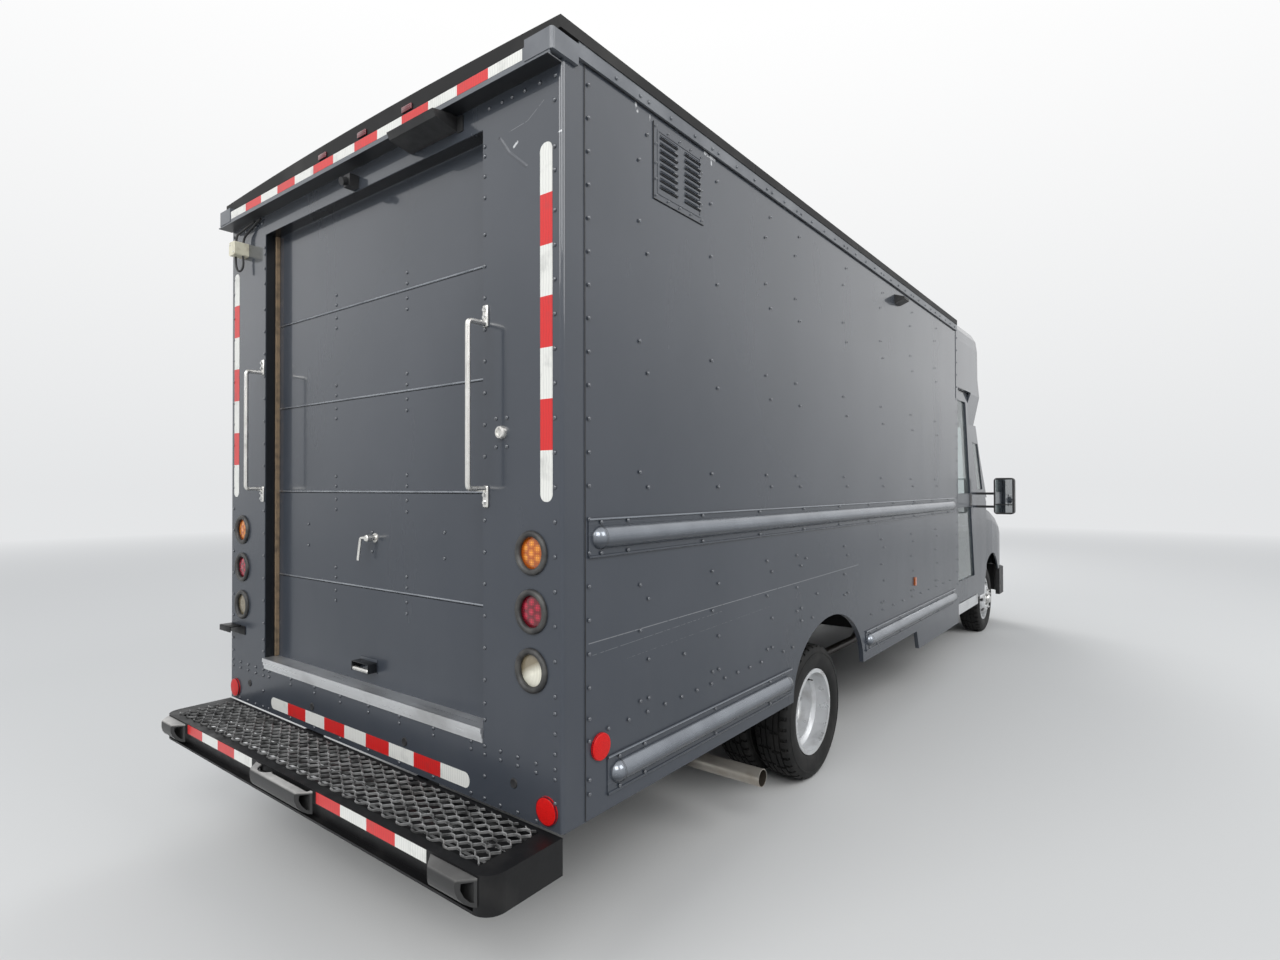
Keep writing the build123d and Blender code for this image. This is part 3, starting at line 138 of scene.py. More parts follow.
def sum_up(made, operation, first, second=0.0, third=0.0):
    """One step of arithmetic on values or sockets."""
    step = add_node(made, "ShaderNodeMath", operation=operation)
    for socket, value in zip(step.inputs, (first, second, third)):
        if isinstance(value, (int, float)):
            socket.default_value = value
        else:
            join_up(made, value, socket)
    return step.outputs[0]


def ramp(made, source, low, high, low_value=0.0, high_value=1.0):
    """A value stretched between two levels."""
    spread = add_node(made, "ShaderNodeMapRange")
    for index, value in zip((1, 2, 3, 4), (low, high, low_value, high_value)):
        spread.inputs[index].default_value = value
    join_up(made, source, spread.inputs[0])
    return spread.outputs[0]


def fade_colours(made, source, first, second, end):
    """A colour that turns into a second one while a value rises from nought."""
    fade = add_node(made, "ShaderNodeValToRGB")
    fade.color_ramp.elements[0].color = first
    fade.color_ramp.elements[1].color = second
    fade.color_ramp.elements[1].position = end
    join_up(made, source, fade.inputs["Fac"])
    return fade.outputs["Color"]


def shown_directly(made):
    """Whether a ray comes straight from the camera, off a gloss or through glass."""
    ray = add_node(made, "ShaderNodeLightPath").outputs
    either = sum_up(made, "MAXIMUM", ray["Is Camera Ray"], ray["Is Glossy Ray"])
    return sum_up(made, "MAXIMUM", either, ray["Is Transmission Ray"])


def mix_shaders(made, factor, first, second, target):
    """Sends one shader or another to an output by a factor."""
    mixer = add_node(made, "ShaderNodeMixShader")
    for source, socket in zip((factor, first.outputs[0], second.outputs[0]), mixer.inputs):
        join_up(made, source, socket)
    join_up(made, mixer.outputs[0], target.inputs["Surface"])


world = bpy.data.worlds.new("studio_sky")
world.use_nodes = True
bpy.context.scene.world = world
sky_place = add_node(world, "ShaderNodeSeparateXYZ")
join_up(world, add_node(world, "ShaderNodeTexCoord").outputs["Generated"], sky_place.inputs[0])
sky_height = sky_place.outputs["Z"]
sky_light = world.node_tree.nodes["Background"]
sky_light.inputs["Strength"].default_value = SKY_STRENGTH
join_up(world, fade_colours(world, sky_height, SKY_LOW, SKY_HIGH, SKY_END), sky_light.inputs["Color"])
backdrop = add_node(world, "ShaderNodeBackground")
join_up(world, fade_colours(world, sky_height, FAR_COLOUR, TOP_COLOUR, TOP_END), backdrop.inputs["Color"])
mix_shaders(world, shown_directly(world), sky_light, backdrop, world.node_tree.nodes["World Output"])

floor_finish = new_finish("pale_floor", FLOOR_COLOUR, 1.0, gloss=0.0)
floor_nodes = floor_finish.node_tree.nodes
away = add_node(floor_finish, "ShaderNodeVectorMath", operation="LENGTH")
join_up(floor_finish, object_place(floor_finish), away.inputs[0])
far_off = ramp(floor_finish, away.outputs["Value"], FADE_START, FADE_END)
far_seen = sum_up(floor_finish, "MULTIPLY", far_off, shown_directly(floor_finish))
floor_far = add_node(floor_finish, "ShaderNodeEmission", Color=FAR_COLOUR)
mix_shaders(floor_finish, far_seen, floor_nodes["Principled BSDF"], floor_far,
            floor_nodes["Material Output"])
bpy.ops.mesh.primitive_plane_add(size=FLOOR_SIZE, location=(0, 0, 0))
floor = bpy.context.object
floor.name = "floor"
floor.data.materials.append(floor_finish)


# Chassis frame, springs and front suspension
# Pressed steel channels with cross members, leaf springs behind and struts in front, all
# bolted up and sprayed dull black; road dirt clings to every ledge.
CHASSIS = (0.018, 0.018, 0.018)
ROAD_DIRT = (0.075, 0.067, 0.056)


def noise(made, size, detail=3.0, scale=(1, 1, 1)):
    """A noise pattern with about so many features to the metre."""
    pattern = add_node(made, "ShaderNodeTexNoise", Scale=size, Detail=detail)
    join_up(made, object_place(made, scale), pattern.inputs["Vector"])
    return pattern.outputs["Fac"]


def blend_colours(made, factor, first, second):
    """One colour turning into another by a factor."""
    mixer = add_node(made, "ShaderNodeMix", data_type="RGBA")
    for socket, value in ((mixer.inputs[6], first), (mixer.inputs[7], second)):
        if isinstance(value, tuple):
            socket.default_value = (*value[:3], 1)
        else:
            join_up(made, value, socket)
    join_up(made, factor, mixer.inputs[0])
    return mixer.outputs[2]


def set_surface(made, socket_name, source):
    """Feeds one input of a material's surface shader."""
    join_up(made, source, made.node_tree.nodes["Principled BSDF"].inputs[socket_name])


def roughen(made, layers):
    """Bump layers, each a height with its strength and its depth in metres."""
    last = None
    for height, strength, depth in layers:
        bump = add_node(made, "ShaderNodeBump", Strength=strength, Distance=depth)
        join_up(made, height, bump.inputs["Height"])
        if last:
            join_up(made, last, bump.inputs["Normal"])
        last = bump.outputs["Normal"]
    set_surface(made, "Normal", last)


def patchy(made, first, second, size, low=0.4, high=0.7, detail=5.0):
    """A base colour that wears or soils into a second one in patches."""
    patches = ramp(made, noise(made, size, detail), low, high)
    set_surface(made, "Base Color", blend_colours(made, patches, first, second))


def dress(made, *names):
    """Gives a finish to pieces of the frame."""
    for name in names:
        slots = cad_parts[name].data.materials
        slots.clear()
        slots.append(made)


chassis = new_finish("chassis_black", CHASSIS, 0.7)
patchy(chassis, CHASSIS, ROAD_DIRT, 7)
roughen(chassis, [(noise(chassis, 80), 0.3, 0.003)])
dress(chassis, "frame_rails", "rear_springs", "front_suspension")

# Axle, knuckles, engine and shaft
# Raw iron and steel castings, unpainted, gone brown with surface rust where stones strike.
CAST_IRON = (0.12, 0.115, 0.11)
SURFACE_RUST = (0.13, 0.07, 0.045)
casting = new_finish("raw_casting", CAST_IRON, 0.65, metal=0.7)
patchy(casting, CAST_IRON, SURFACE_RUST, 9)
roughen(casting, [(noise(casting, 160), 0.4, 0.002)])
dress(casting, "rear_axle", "knuckle_right", "knuckle_left", "engine_block", "propeller_shaft")

# Tyres
# Six radial tyres with five ribs and open shoulder blocks, each moulded in black rubber with a
# raised ring round the side wall. The rear ones run in pairs, close together on each side.
TYRE_RUBBER = (0.008, 0.008, 0.008)
TYRE_DUST = (0.020, 0.019, 0.018)
TYRE_STEPS = 120
TYRE_HALF = [
    # distance from the middle, radius
    (0.0, 0.3430), (0.0155, 0.3428), (0.0165, 0.3350), (0.0225, 0.3350), (0.0235, 0.3424),
    (0.0445, 0.3415), (0.0455, 0.3340), (0.0515, 0.3335), (0.0525, 0.3408), (0.0740, 0.3385),
    (0.0850, 0.3290), (0.0905, 0.3150), (0.0935, 0.3050), (0.0962, 0.3035), (0.0965, 0.2985),
    (0.0945, 0.2965), (0.0975, 0.2740), (0.0950, 0.2500), (0.0880, 0.2290), (0.0800, 0.2200),
    (0.0765, 0.2175), (0.0765, 0.2060),
]
TYRE_HALF_WIDTH = 0.098
NOTCH_SHARE = 3
NOTCH_DEPTH = 0.007
NOTCH_INSET = 0.0012
SHOULDER = (0.054, 0.087, 0.330)
RIB_REACH = (0.044, 0.3395)
WHEEL_BODIES = (
    # end of the nodes' names, body
    ("right", "front_wheel_right"), ("left", "front_wheel_left"),
    ("right", "rear_wheels_right"), ("left", "rear_wheels_left"),
)


def clear_choice():
    """Leaves edit mode and selects nothing."""
    if bpy.context.object and bpy.context.object.mode != "OBJECT":
        bpy.ops.object.mode_set(mode="OBJECT")
    bpy.ops.object.select_all(action="DESELECT")


def take(piece):
    """Makes a piece the one that is worked on."""
    clear_choice()
    piece.select_set(True)
    bpy.context.view_layer.objects.active = piece


def pick(test, kind="FACE"):
    """In edit mode, selects only the faces, edges or corners that pass a test."""
    bpy.ops.mesh.select_mode(type=kind)
    bpy.ops.mesh.select_all(action="DESELECT")
    shape = bmesh.from_edit_mesh(bpy.context.object.data)
    for part in {"VERT": shape.verts, "EDGE": shape.edges, "FACE": shape.faces}[kind]:
        if test(part):
            part.select_set(True)
    shape.select_flush_mode()
    bmesh.update_edit_mesh(bpy.context.object.data)


def trace(points):
    """A chain of edges drawn through points by extruding one corner."""
    clear_choice()
    bpy.ops.mesh.primitive_plane_add(size=0.01, location=points[0])
    bpy.ops.object.transform_apply(location=True, rotation=False, scale=False)
    bpy.ops.object.mode_set(mode="EDIT")
    bpy.ops.mesh.select_mode(type="VERT")
    bpy.ops.mesh.select_all(action="SELECT")
    bpy.ops.mesh.merge(type="CENTER")
    for before, after in zip(points, points[1:]):
        bpy.ops.mesh.extrude_region_move(TRANSFORM_OT_translate={"value": Vector(after) - Vector(before)})
    return bpy.context.object


def lathe(points, centre=(0, 0, 0), axis=(1, 0, 0), steps=48):
    """A round shape turned once about an axis from a traced profile."""
    piece = trace(points)
    bpy.ops.mesh.select_all(action="SELECT")
    bpy.ops.mesh.spin(steps=steps, angle=math.tau, center=centre, axis=axis)
    bpy.ops.mesh.select_all(action="SELECT")
    bpy.ops.mesh.remove_doubles(threshold=0.00005)
    bpy.ops.mesh.dissolve_degenerate(threshold=0.00002)
    bpy.ops.mesh.select_all(action="SELECT")
    bpy.ops.mesh.normals_make_consistent(inside=False)
    bpy.ops.object.mode_set(mode="OBJECT")
    return piece


def twin(piece, place=(0, 0, 0), turned=(0, 0, 0)):
    """A copy of a piece with its own mesh, moved and turned from where the first one is."""
    clear_choice()
    copy = piece.copy()
    copy.data = piece.data.copy()
    bpy.context.collection.objects.link(copy)
    copy.location = Vector(place)
    copy.rotation_euler = turned
    return copy


def unite(pieces):
    """Several pieces joined as one mesh."""
    clear_choice()
    for piece in pieces:
        piece.select_set(True)
    bpy.context.view_layer.objects.active = pieces[0]
    bpy.ops.object.join()
    return bpy.context.object


def settle(piece, name, finish, body="body", smooth=40):
    """Names a finished piece, dresses it and lets it ride on its body."""
    take(piece)
    bpy.ops.object.transform_apply(location=True, rotation=True, scale=True)
    bpy.ops.object.shade_smooth_by_angle(angle=math.radians(smooth))
    piece.name = name
    if finish:
        piece.data.materials.clear()
        piece.data.materials.append(finish)
    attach(piece, body)
    return piece


rubber = new_finish("tyre_rubber", TYRE_RUBBER, 0.62, gloss=0.25)
patchy(rubber, TYRE_RUBBER, TYRE_DUST, 16, 0.45, 0.75)
roughen(rubber, [(noise(rubber, 240), 0.12, 0.001)])

tyre_outline = [(x, 0, r) for x, r in TYRE_HALF] + [(-x, 0, r) for x, r in reversed(TYRE_HALF)]
tyre = lathe(tyre_outline, steps=TYRE_STEPS)


def in_notch(face):
    """Every third block of the two shoulders and, between them, of the ribs."""
    spot = face.calc_center_median()
    around = math.hypot(spot.y, spot.z)
    index = int((math.atan2(spot.z, spot.y) % math.tau) / math.tau * TYRE_STEPS)
    on_shoulder = SHOULDER[0] < abs(spot.x) < SHOULDER[1] and around > SHOULDER[2]
    on_rib = abs(spot.x) < RIB_REACH[0] and around > RIB_REACH[1]
    return ((on_shoulder and index % NOTCH_SHARE == 0)
            or (on_rib and index % (2 * NOTCH_SHARE) == int(spot.x > 0)))


take(tyre)
bpy.ops.object.mode_set(mode="EDIT")
pick(in_notch)
bpy.ops.mesh.inset(thickness=NOTCH_INSET, depth=-NOTCH_DEPTH, use_individual=True)
clear_choice()
for side_name, wheel_body in WHEEL_BODIES:
    tyre_node = wheel_body.split("_")[0] + ("_tyre_" if "front" in wheel_body else "_tyres_") + side_name
    low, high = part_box(tyre_node)
    hub_y, hub_z = (low.y + high.y) / 2, (low.z + high.z) / 2
    centres = [low.x + TYRE_HALF_WIDTH, high.x - TYRE_HALF_WIDTH]
    if centres[1] - centres[0] < TYRE_HALF_WIDTH:
        centres = centres[:1]
    pair = [twin(tyre, (x, hub_y, hub_z)) for x in centres]
    casing = settle(unite(pair), "moulded_" + tyre_node, rubber, wheel_body, 35)
    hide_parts(tyre_node)
bpy.data.objects.remove(tyre)

# Wheels
# Pressed steel discs in silver paint, welded into stepped barrels and held to the hubs by six
# plated nuts. The front hubs have a bright dome over the bearing. Each wheel has a rubber valve.
WHEEL_SILVER = (0.66, 0.67, 0.68)
BRAKE_DUST = (0.30, 0.285, 0.27)
PLATED = (0.70, 0.70, 0.69)
NUT_CIRCLE = 0.085
NUT_COUNT = 6
DISC_WALL = 0.008
VALVE_CIRCLE = 0.160
COVER_HALF = [(0.0, 0.036), (0.016, 0.0352), (0.030, 0.0315), (0.040, 0.0245), (0.0455, 0.0140),
              (0.0465, 0.0050), (0.0560, 0.0035), (0.0585, 0.0)]
VALVE_HALF = [(0.0, 0.040), (0.0030, 0.0395), (0.0036, 0.0380), (0.0036, 0.0290), (0.0026, 0.0285),
              (0.0026, 0.0240), (0.0048, 0.0200), (0.0060, 0.0)]
VALVE_SETS = {True: 0.040, False: 0.045}
FACINGS = {
    "rear": (math.radians(90), 0, 0), "front": (math.radians(-90), 0, 0),
    "right": (0, math.radians(90), 0), "left": (0, math.radians(-90), 0), "up": (0, 0, 0),
    "down": (math.radians(180), 0, 0),
}


def vary_gloss(made, low, high, size, detail=3.0, scale=(1, 1, 1), start=0.3, end=0.7):
    """A roughness that wanders between two values."""
    set_surface(made, "Roughness", ramp(made, noise(made, size, detail, scale), start, end, low, high))


wheel_paint = new_finish("wheel_silver", WHEEL_SILVER, 0.3, metal=0.6)
patchy(wheel_paint, WHEEL_SILVER, BRAKE_DUST, 9, 0.5, 0.9)
vary_gloss(wheel_paint, 0.24, 0.42, 14, 4.0)
roughen(wheel_paint, [(noise(wheel_paint, 260), 0.04, 0.001)])
dress(wheel_paint, "front_rim_right", "front_rim_left", "rear_rims_right", "rear_rims_left")
plated = new_finish("plated_steel", PLATED, 0.22, metal=1.0)
patchy(plated, PLATED, (0.42, 0.41, 0.39), 40, 0.5, 0.85)
vary_gloss(plated, 0.16, 0.34, 60, 4.0)


def repeat(master, places, facing):
    """Copies of a small piece set down at places, all facing one way."""
    return [twin(master, place, FACINGS[facing]) for place in places]


def round_bar(start, end, radius, steps=16):
    """A round bar between two points."""
    clear_choice()
    run = Vector(end) - Vector(start)
    bpy.ops.mesh.primitive_cylinder_add(vertices=steps, radius=radius, depth=run.length,
                                        location=(Vector(start) + Vector(end)) / 2,
                                        rotation=run.to_track_quat("Z", "Y").to_euler())
    return bpy.context.object


def ring_of(count, radius, x, y, z):
    """Places spread evenly round an axle."""
    steps = [math.tau * (index + 0.5) / count for index in range(count)]
    return [(x, y + radius * math.cos(angle), z + radius * math.sin(angle)) for angle in steps]


def spun(half, steps):
    """A round piece that stands on its seat and faces up, from its radii and heights."""
    return lathe([(radius, 0, height) for radius, height in half], axis=(0, 0, 1), steps=steps)


washer = round_bar((0, 0, 0), (0, 0, 0.004), 0.0165, 24)
hexagon = round_bar((0, 0, 0.004), (0, 0, 0.021), 0.0135, 6)
stud = round_bar((0, 0, 0.021), (0, 0, 0.028), 0.0065, 12)
nut = unite([washer, hexagon, stud])
take(nut)
bpy.ops.object.transform_apply(location=True, rotation=True, scale=True)
cover = spun(COVER_HALF, 36)
valve = spun(VALVE_HALF, 12)
for side_name, wheel_body in WHEEL_BODIES:
    at_front = "front" in wheel_body
    low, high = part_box(("front_rim_" if at_front else "rear_rims_") + side_name)
    way = 1 if side_name == "right" else -1
    outer = high.x if way > 0 else low.x
    face_x = outer if at_front else (low.x + high.x) / 2 + way * DISC_WALL
    axle_y, axle_z = (low.y + high.y) / 2, (low.z + high.z) / 2
    fittings = repeat(nut, ring_of(NUT_COUNT, NUT_CIRCLE, face_x, axle_y, axle_z), side_name)
    if at_front:
        fittings += repeat(cover, [(face_x, axle_y, axle_z)], side_name)
    settle(unite(fittings), wheel_body + "_nuts", plated, wheel_body, 30)
    valve_x = (face_x if at_front else outer) - way * VALVE_SETS[at_front]
    stem = repeat(valve, [(valve_x, axle_y, axle_z + VALVE_CIRCLE)], side_name)[0]
    settle(stem, wheel_body + "_valve", rubber, wheel_body, 30)
for master in (nut, cover, valve):
    bpy.data.objects.remove(master)

# Exhaust and fuel tank
# A plain aluminised steel tube turned out ahead of the wheels, browned by heat near the muffler.
# Where it runs in under the body it is darkened and made less metallic as painted shade. A moulded
# black plastic tank is strapped to the driver's side frame rail.
TUBE_STEEL = (0.50, 0.47, 0.42)
HEAT_STAIN = (0.34, 0.28, 0.22)
PLASTIC = (0.016, 0.016, 0.017)
TIP_PLACE = (REAR_FACE + 1.273, 0.245)
TIP_BORE = 0.0355
TIP_START = 1.0
UNDER_START = (0.80, 0.70)
UNDER_SHADE = (0.055, 0.045, 0.038)
SOOT = (0.09, 0.075, 0.06)


def on_vectors(made, operation, first, second):
    """One step of arithmetic on vectors or sockets."""
    step = add_node(made, "ShaderNodeVectorMath", operation=operation)
    for socket, value in zip(step.inputs, (first, second)):
        if isinstance(value, (tuple, Vector)):
            socket.default_value = value
        else:
            join_up(made, value, socket)
    return step


def axes(made):
    """The object's own X, Y and Z in metres."""
    parts = add_node(made, "ShaderNodeSeparateXYZ")
    join_up(made, object_place(made), parts.inputs[0])
    return parts.outputs


def flat_point(made, across, up):
    """Two coordinates as a point of a plane."""
    spot = add_node(made, "ShaderNodeCombineXYZ")
    join_up(made, across, spot.inputs[0])
    join_up(made, up, spot.inputs[1])
    return spot.outputs[0]


def past(made, source, level):
    """1 where a value lies beyond a level, otherwise 0."""
    return sum_up(made, "GREATER_THAN", source, level)


def short_of(made, source, level):
    """1 where a value lies below a level, otherwise 0."""
    return sum_up(made, "LESS_THAN", source, level)


def all_of(made, *shares):
    """The product of several shares."""
    whole = shares[0]
    for share in shares[1:]:
        whole = sum_up(made, "MULTIPLY", whole, share)
    return whole


pipe_steel = new_finish("exhaust_steel", TUBE_STEEL, 0.38, metal=0.7)
pipe_place = axes(pipe_steel)
heated = ramp(pipe_steel, noise(pipe_steel, 9, 5.0), 0.5, 0.8)
stained_and_shaded = blend_colours(pipe_steel, heated, TUBE_STEEL, HEAT_STAIN)
pipe_round = flat_point(pipe_steel, pipe_place["Y"], pipe_place["Z"])
bore = on_vectors(pipe_steel, "DISTANCE", pipe_round, (*TIP_PLACE, 0)).outputs["Value"]
in_bore = all_of(pipe_steel, short_of(pipe_steel, bore, TIP_BORE),
                 past(pipe_steel, pipe_place["X"], TIP_START))
# Painted shade: inboard, under the body, the tube turns dark brown and loses its metal.
under = ramp(pipe_steel, pipe_place["X"], *UNDER_START)
stained_and_shaded = blend_colours(pipe_steel, under, stained_and_shaded, UNDER_SHADE)
set_surface(pipe_steel, "Base Color", blend_colours(pipe_steel, in_bore, stained_and_shaded, SOOT))
set_surface(pipe_steel, "Metallic", ramp(pipe_steel, under, 0.0, 1.0, 0.7, 0.1))
roughen(pipe_steel, [(noise(pipe_steel, 110), 0.12, 0.001)])
dress(pipe_steel, "exhaust")
plastic = new_finish("moulded_black", PLASTIC, 0.5)
vary_gloss(plastic, 0.42, 0.6, 30)
patchy(plastic, PLASTIC, (0.035, 0.034, 0.033), 11, 0.5, 0.8)
roughen(plastic, [(noise(plastic, 420, 1.5), 0.2, 0.0006)])
dress(plastic, "fuel_tank", "cab_floor", "front_bumper", "grille", "lamp_housings", "mirrors")

# Box walls
# Flat aluminium sheets riveted to posts inside and painted a dark blue-grey gloss. The skin is
# slightly wavy between the posts. Scrapes along the side and chips under the roof rail and on
# the right post show the pale primer, and a crease runs across the top of that post.
PAINT = (0.041, 0.048, 0.060)
# Faded patches of the paint, and also the lighter base of the rivet heads as painted highlight.
FADED_AND_HIGHLIT_PAINT = (0.050, 0.057, 0.070)
DUST = (0.20, 0.195, 0.185)
PRIMER = (0.55, 0.56, 0.57)
WALL_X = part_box("side_walls")[1].x
MARKS = (
    # face, two ends as the distance along it and the height, half width, share that stays, strength
    ("side", (0.114, 1.042), (2.390, 1.074), 0.0020, 0.35, 0.26),
    ("side", (0.130, 1.004), (0.900, 1.028), 0.0012, 0.45, 0.16),
    ("side", (0.300, 0.962), (1.300, 0.990), 0.0010, 0.50, 0.12),
    ("side", (0.352, 2.786), (0.360, 2.766), 0.0070, 0.42, 1.0),
    ("side", (0.430, 2.782), (0.430, 2.762), 0.0030, 0.40, 0.8),
    ("side", (0.778, 2.786), (0.850, 2.785), 0.0080, 0.46, 1.0),
    ("side", (0.824, 2.785), (0.828, 2.760), 0.0060, 0.42, 1.0),
    ("rear", (0.899, 2.567), (0.914, 2.577), 0.0055, 0.34, 1.0),
    ("rear", (1.089, 2.552), (1.100, 2.556), 0.0035, 0.38, 0.9),
    ("rear", (0.877, 2.620), (0.960, 2.628), 0.0012, 0.40, 0.22),
    ("rear", (0.960, 2.628), (1.030, 2.668), 0.0012, 0.40, 0.22),
)
CREASE = ((0.835, 2.611), (0.877, 2.555), (0.953, 2.492))
CREASE_WIDTH = 0.007
# Near black painted shade for recesses: the door opening's reveal and the gutter's underside.
REVEAL_SHADE = (0.010, 0.011, 0.013)
NEAR_FACE = 0.004
OPENING_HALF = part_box("door_sill")[1].x
door_low, door_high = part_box("rear_door")
door_face = door_low.y


def line_gap(made, spot, start, end):
    """How far a point of a flat face lies from a line between two ends."""
    run = Vector((*end, 0)) - Vector((*start, 0))
    apart = on_vectors(made, "SUBTRACT", spot, (*start, 0)).outputs[0]
    share = on_vectors(made, "DOT_PRODUCT", apart, run / run.length_squared).outputs["Value"]
    nearest = add_node(made, "ShaderNodeVectorMath", operation="SCALE")
    nearest.inputs[0].default_value = run
    join_up(made, ramp(made, share, 0, 1), nearest.inputs["Scale"])
    return on_vectors(made, "DISTANCE", apart, nearest.outputs[0]).outputs["Value"]


def flat_spot(made, parts, along, offset=0.0):
    """A point of a flat upright face as its distance along it and its height."""
    return flat_point(made, sum_up(made, "SUBTRACT", parts[along], offset), parts["Z"])


paint = new_finish("blue_grey_paint", PAINT, 0.3, coat=0.6, gloss=0.35)
paint_place = axes(paint)
faded = blend_colours(paint, ramp(paint, noise(paint, 1.6, 4.0), 0.35, 0.7), PAINT, FADED_AND_HIGHLIT_PAINT)
streaks = noise(paint, 1.0, 5.0, scale=(5, 5, 1.2))
low_down = ramp(paint, paint_place["Z"], 1.5, 0.4, 0.10, 0.9)
dusty = sum_up(paint, "MULTIPLY", ramp(paint, streaks, 0.45, 0.8, 0.0, 0.06), low_down)
coloured = blend_colours(paint, dusty, faded, DUST)
flaking = noise(paint, 60, 5.0)
on_side = past(paint, paint_place["X"], WALL_X - NEAR_FACE)
on_rear = short_of(paint, paint_place["Y"], REAR_FACE + NEAR_FACE)
spots_on = {"side": (flat_spot(paint, paint_place, "Y", REAR_FACE), on_side),
            "rear": (flat_spot(paint, paint_place, "X"), on_rear)}
for face_name, start, end, half_width, stays, strength in MARKS:
    spot, on_face = spots_on[face_name]
    near = ramp(paint, line_gap(paint, spot, start, end), half_width, half_width * 0.4, 0.0, strength)
    broken = sum_up(paint, "MULTIPLY", near, ramp(paint, flaking, stays - 0.04, stays + 0.06))
    coloured = blend_colours(paint, sum_up(paint, "MULTIPLY", broken, on_face), coloured, PRIMER)
# Painted shade: inside the door opening, between the rear face and the door, the paint turns near black and
# loses its coat.
across = sum_up(paint, "ABSOLUTE", paint_place["X"])
shaded_reveal = all_of(paint, short_of(paint, across, OPENING_HALF + NEAR_FACE),
                   past(paint, paint_place["Y"], REAR_FACE + NEAR_FACE),
                   short_of(paint, paint_place["Y"], door_face - NEAR_FACE))
set_surface(paint, "Base Color", blend_colours(paint, shaded_reveal, coloured, REVEAL_SHADE))
set_surface(paint, "Roughness", ramp(paint, streaks, 0.3, 0.8, 0.22, 0.30))
glossy = ramp(paint, paint_place["Z"], 1.1, 2.3, 0.06, 0.85)
set_surface(paint, "Coat Weight", all_of(paint, glossy, sum_up(paint, "SUBTRACT", 1.0, shaded_reveal)))
fold = None
for start, end in zip(CREASE, CREASE[1:]):
    ridge = ramp(paint, line_gap(paint, spots_on["rear"][0], start, end), CREASE_WIDTH, 0.0)
    fold = ridge if fold is None else sum_up(paint, "MAXIMUM", fold, ridge)
fold = sum_up(paint, "MULTIPLY", fold, on_rear)
roughen(paint, [(noise(paint, 1.3, 1.5), 0.30, 0.02), (fold, 0.5, 0.004),
                (noise(paint, 190, 1.0), 0.04, 0.002)])
dress(paint, "side_walls", "rear_frame", "rear_door", "front_cap", "cab_body", "fenders", "hood",
      "cab_door_right", "cab_door_left", "side_vents")
# Rivet heads are coloured lighter than the panel, with lighter patches still, as painted highlight, and are
# glossier too.
rivet_highlit_paint = new_finish("rivet_highlit_paint", FADED_AND_HIGHLIT_PAINT, 0.2, coat=1.0)
patchy(rivet_highlit_paint, FADED_AND_HIGHLIT_PAINT, (0.085, 0.095, 0.11), 120, 0.5, 0.8)
vary_gloss(rivet_highlit_paint, 0.14, 0.26, 90)

RIVET_RADIUS = 0.0066
RIVET_RISE = 0.0036
PITCH = 0.1016
POST_STATIONS = (0.366, 0.821, 1.275, 1.578, 2.180, 2.785, 3.396, 4.005)
POST_HEIGHTS = (2.605, 2.401, 2.000, 1.565, 1.192, 1.041)
SECOND_HEIGHTS = (2.707, 2.303, 1.899, 1.515, 1.140, 0.937)
SECOND_OFFSET = 0.046
LAST_HEIGHT = 0.808
ARCH_HEIGHT = 0.930
ARCH_STATION = 1.97
CORNER_STATION = 0.113
CORNER_LAST = (0.817, 0.750, 0.634, 0.591)
ARCH_RIVETS = ((1.429, 0.770), (1.529, 0.770), (1.629, 0.877), (1.753, 0.874), (1.812, 0.983),
               (1.682, 1.170), (0.627, 0.914))
COLUMN_TOP = 2.739
FLOOR_ROW = 0.764
FLOOR_STARTS = (0.202, 2.600)
ARCH_REACH = 0.42
FRONT_STATION = 4.672


def rivet(radius=RIVET_RADIUS, rise=RIVET_RISE):
    """One round rivet head on its flat seat, facing up."""
    clear_choice()
    bpy.ops.mesh.primitive_uv_sphere_add(segments=10, ring_count=8, radius=radius, location=(0, 0, 0))
    bpy.ops.object.mode_set(mode="EDIT")
    bpy.ops.mesh.select_all(action="SELECT")
    bpy.ops.mesh.bisect(plane_co=(0, 0, 0.0001), plane_no=(0, 0, 1), use_fill=True, clear_inner=True)
    bpy.ops.mesh.select_all(action="SELECT")
    bpy.ops.transform.resize(value=(1, 1, rise / radius))
    bpy.ops.object.mode_set(mode="OBJECT")
    return bpy.context.object


def both_sides(places):
    """The places of the right side and the same ones of the left side."""
    return (("right", places), ("left", [(-x, y, z) for x, y, z in places]))


def down(start, count, pitch=PITCH):
    """Heights or stations that step away from the first one."""
    return [start - pitch * step for step in range(count)]


wall_spots = []
for station in POST_STATIONS:
    over_arch = abs(station - ARCH_STATION) < ARCH_REACH
    wall_spots += [(station, z) for z in POST_HEIGHTS + (ARCH_HEIGHT if over_arch else LAST_HEIGHT,)]
    second = SECOND_HEIGHTS if over_arch else SECOND_HEIGHTS + (LAST_HEIGHT,)
    wall_spots += [(station + SECOND_OFFSET, z) for z in second]
wall_spots += [(CORNER_STATION, z) for z in down(COLUMN_TOP, 19) + list(CORNER_LAST)]
wall_spots += [(FRONT_STATION, z) for z in down(COLUMN_TOP, 22)]
wall_spots += [(FLOOR_STARTS[0] + PITCH * step, FLOOR_ROW) for step in range(11)]
wall_spots += [(FLOOR_STARTS[1] + 2 * PITCH * step, FLOOR_ROW) for step in range(10)]
wall_spots += list(ARCH_RIVETS)
head = rivet()


def side_rivets(spots, seat, master=head):
    """Rivets on both sides of the van, from their stations and heights."""
    made = []
    for facing, places in both_sides([(seat, REAR_FACE + station, z) for station, z in spots]):
        made += repeat(master, places, facing)
    return made


settle(unite(side_rivets(wall_spots, WALL_X)), "wall_rivets", rivet_highlit_paint)

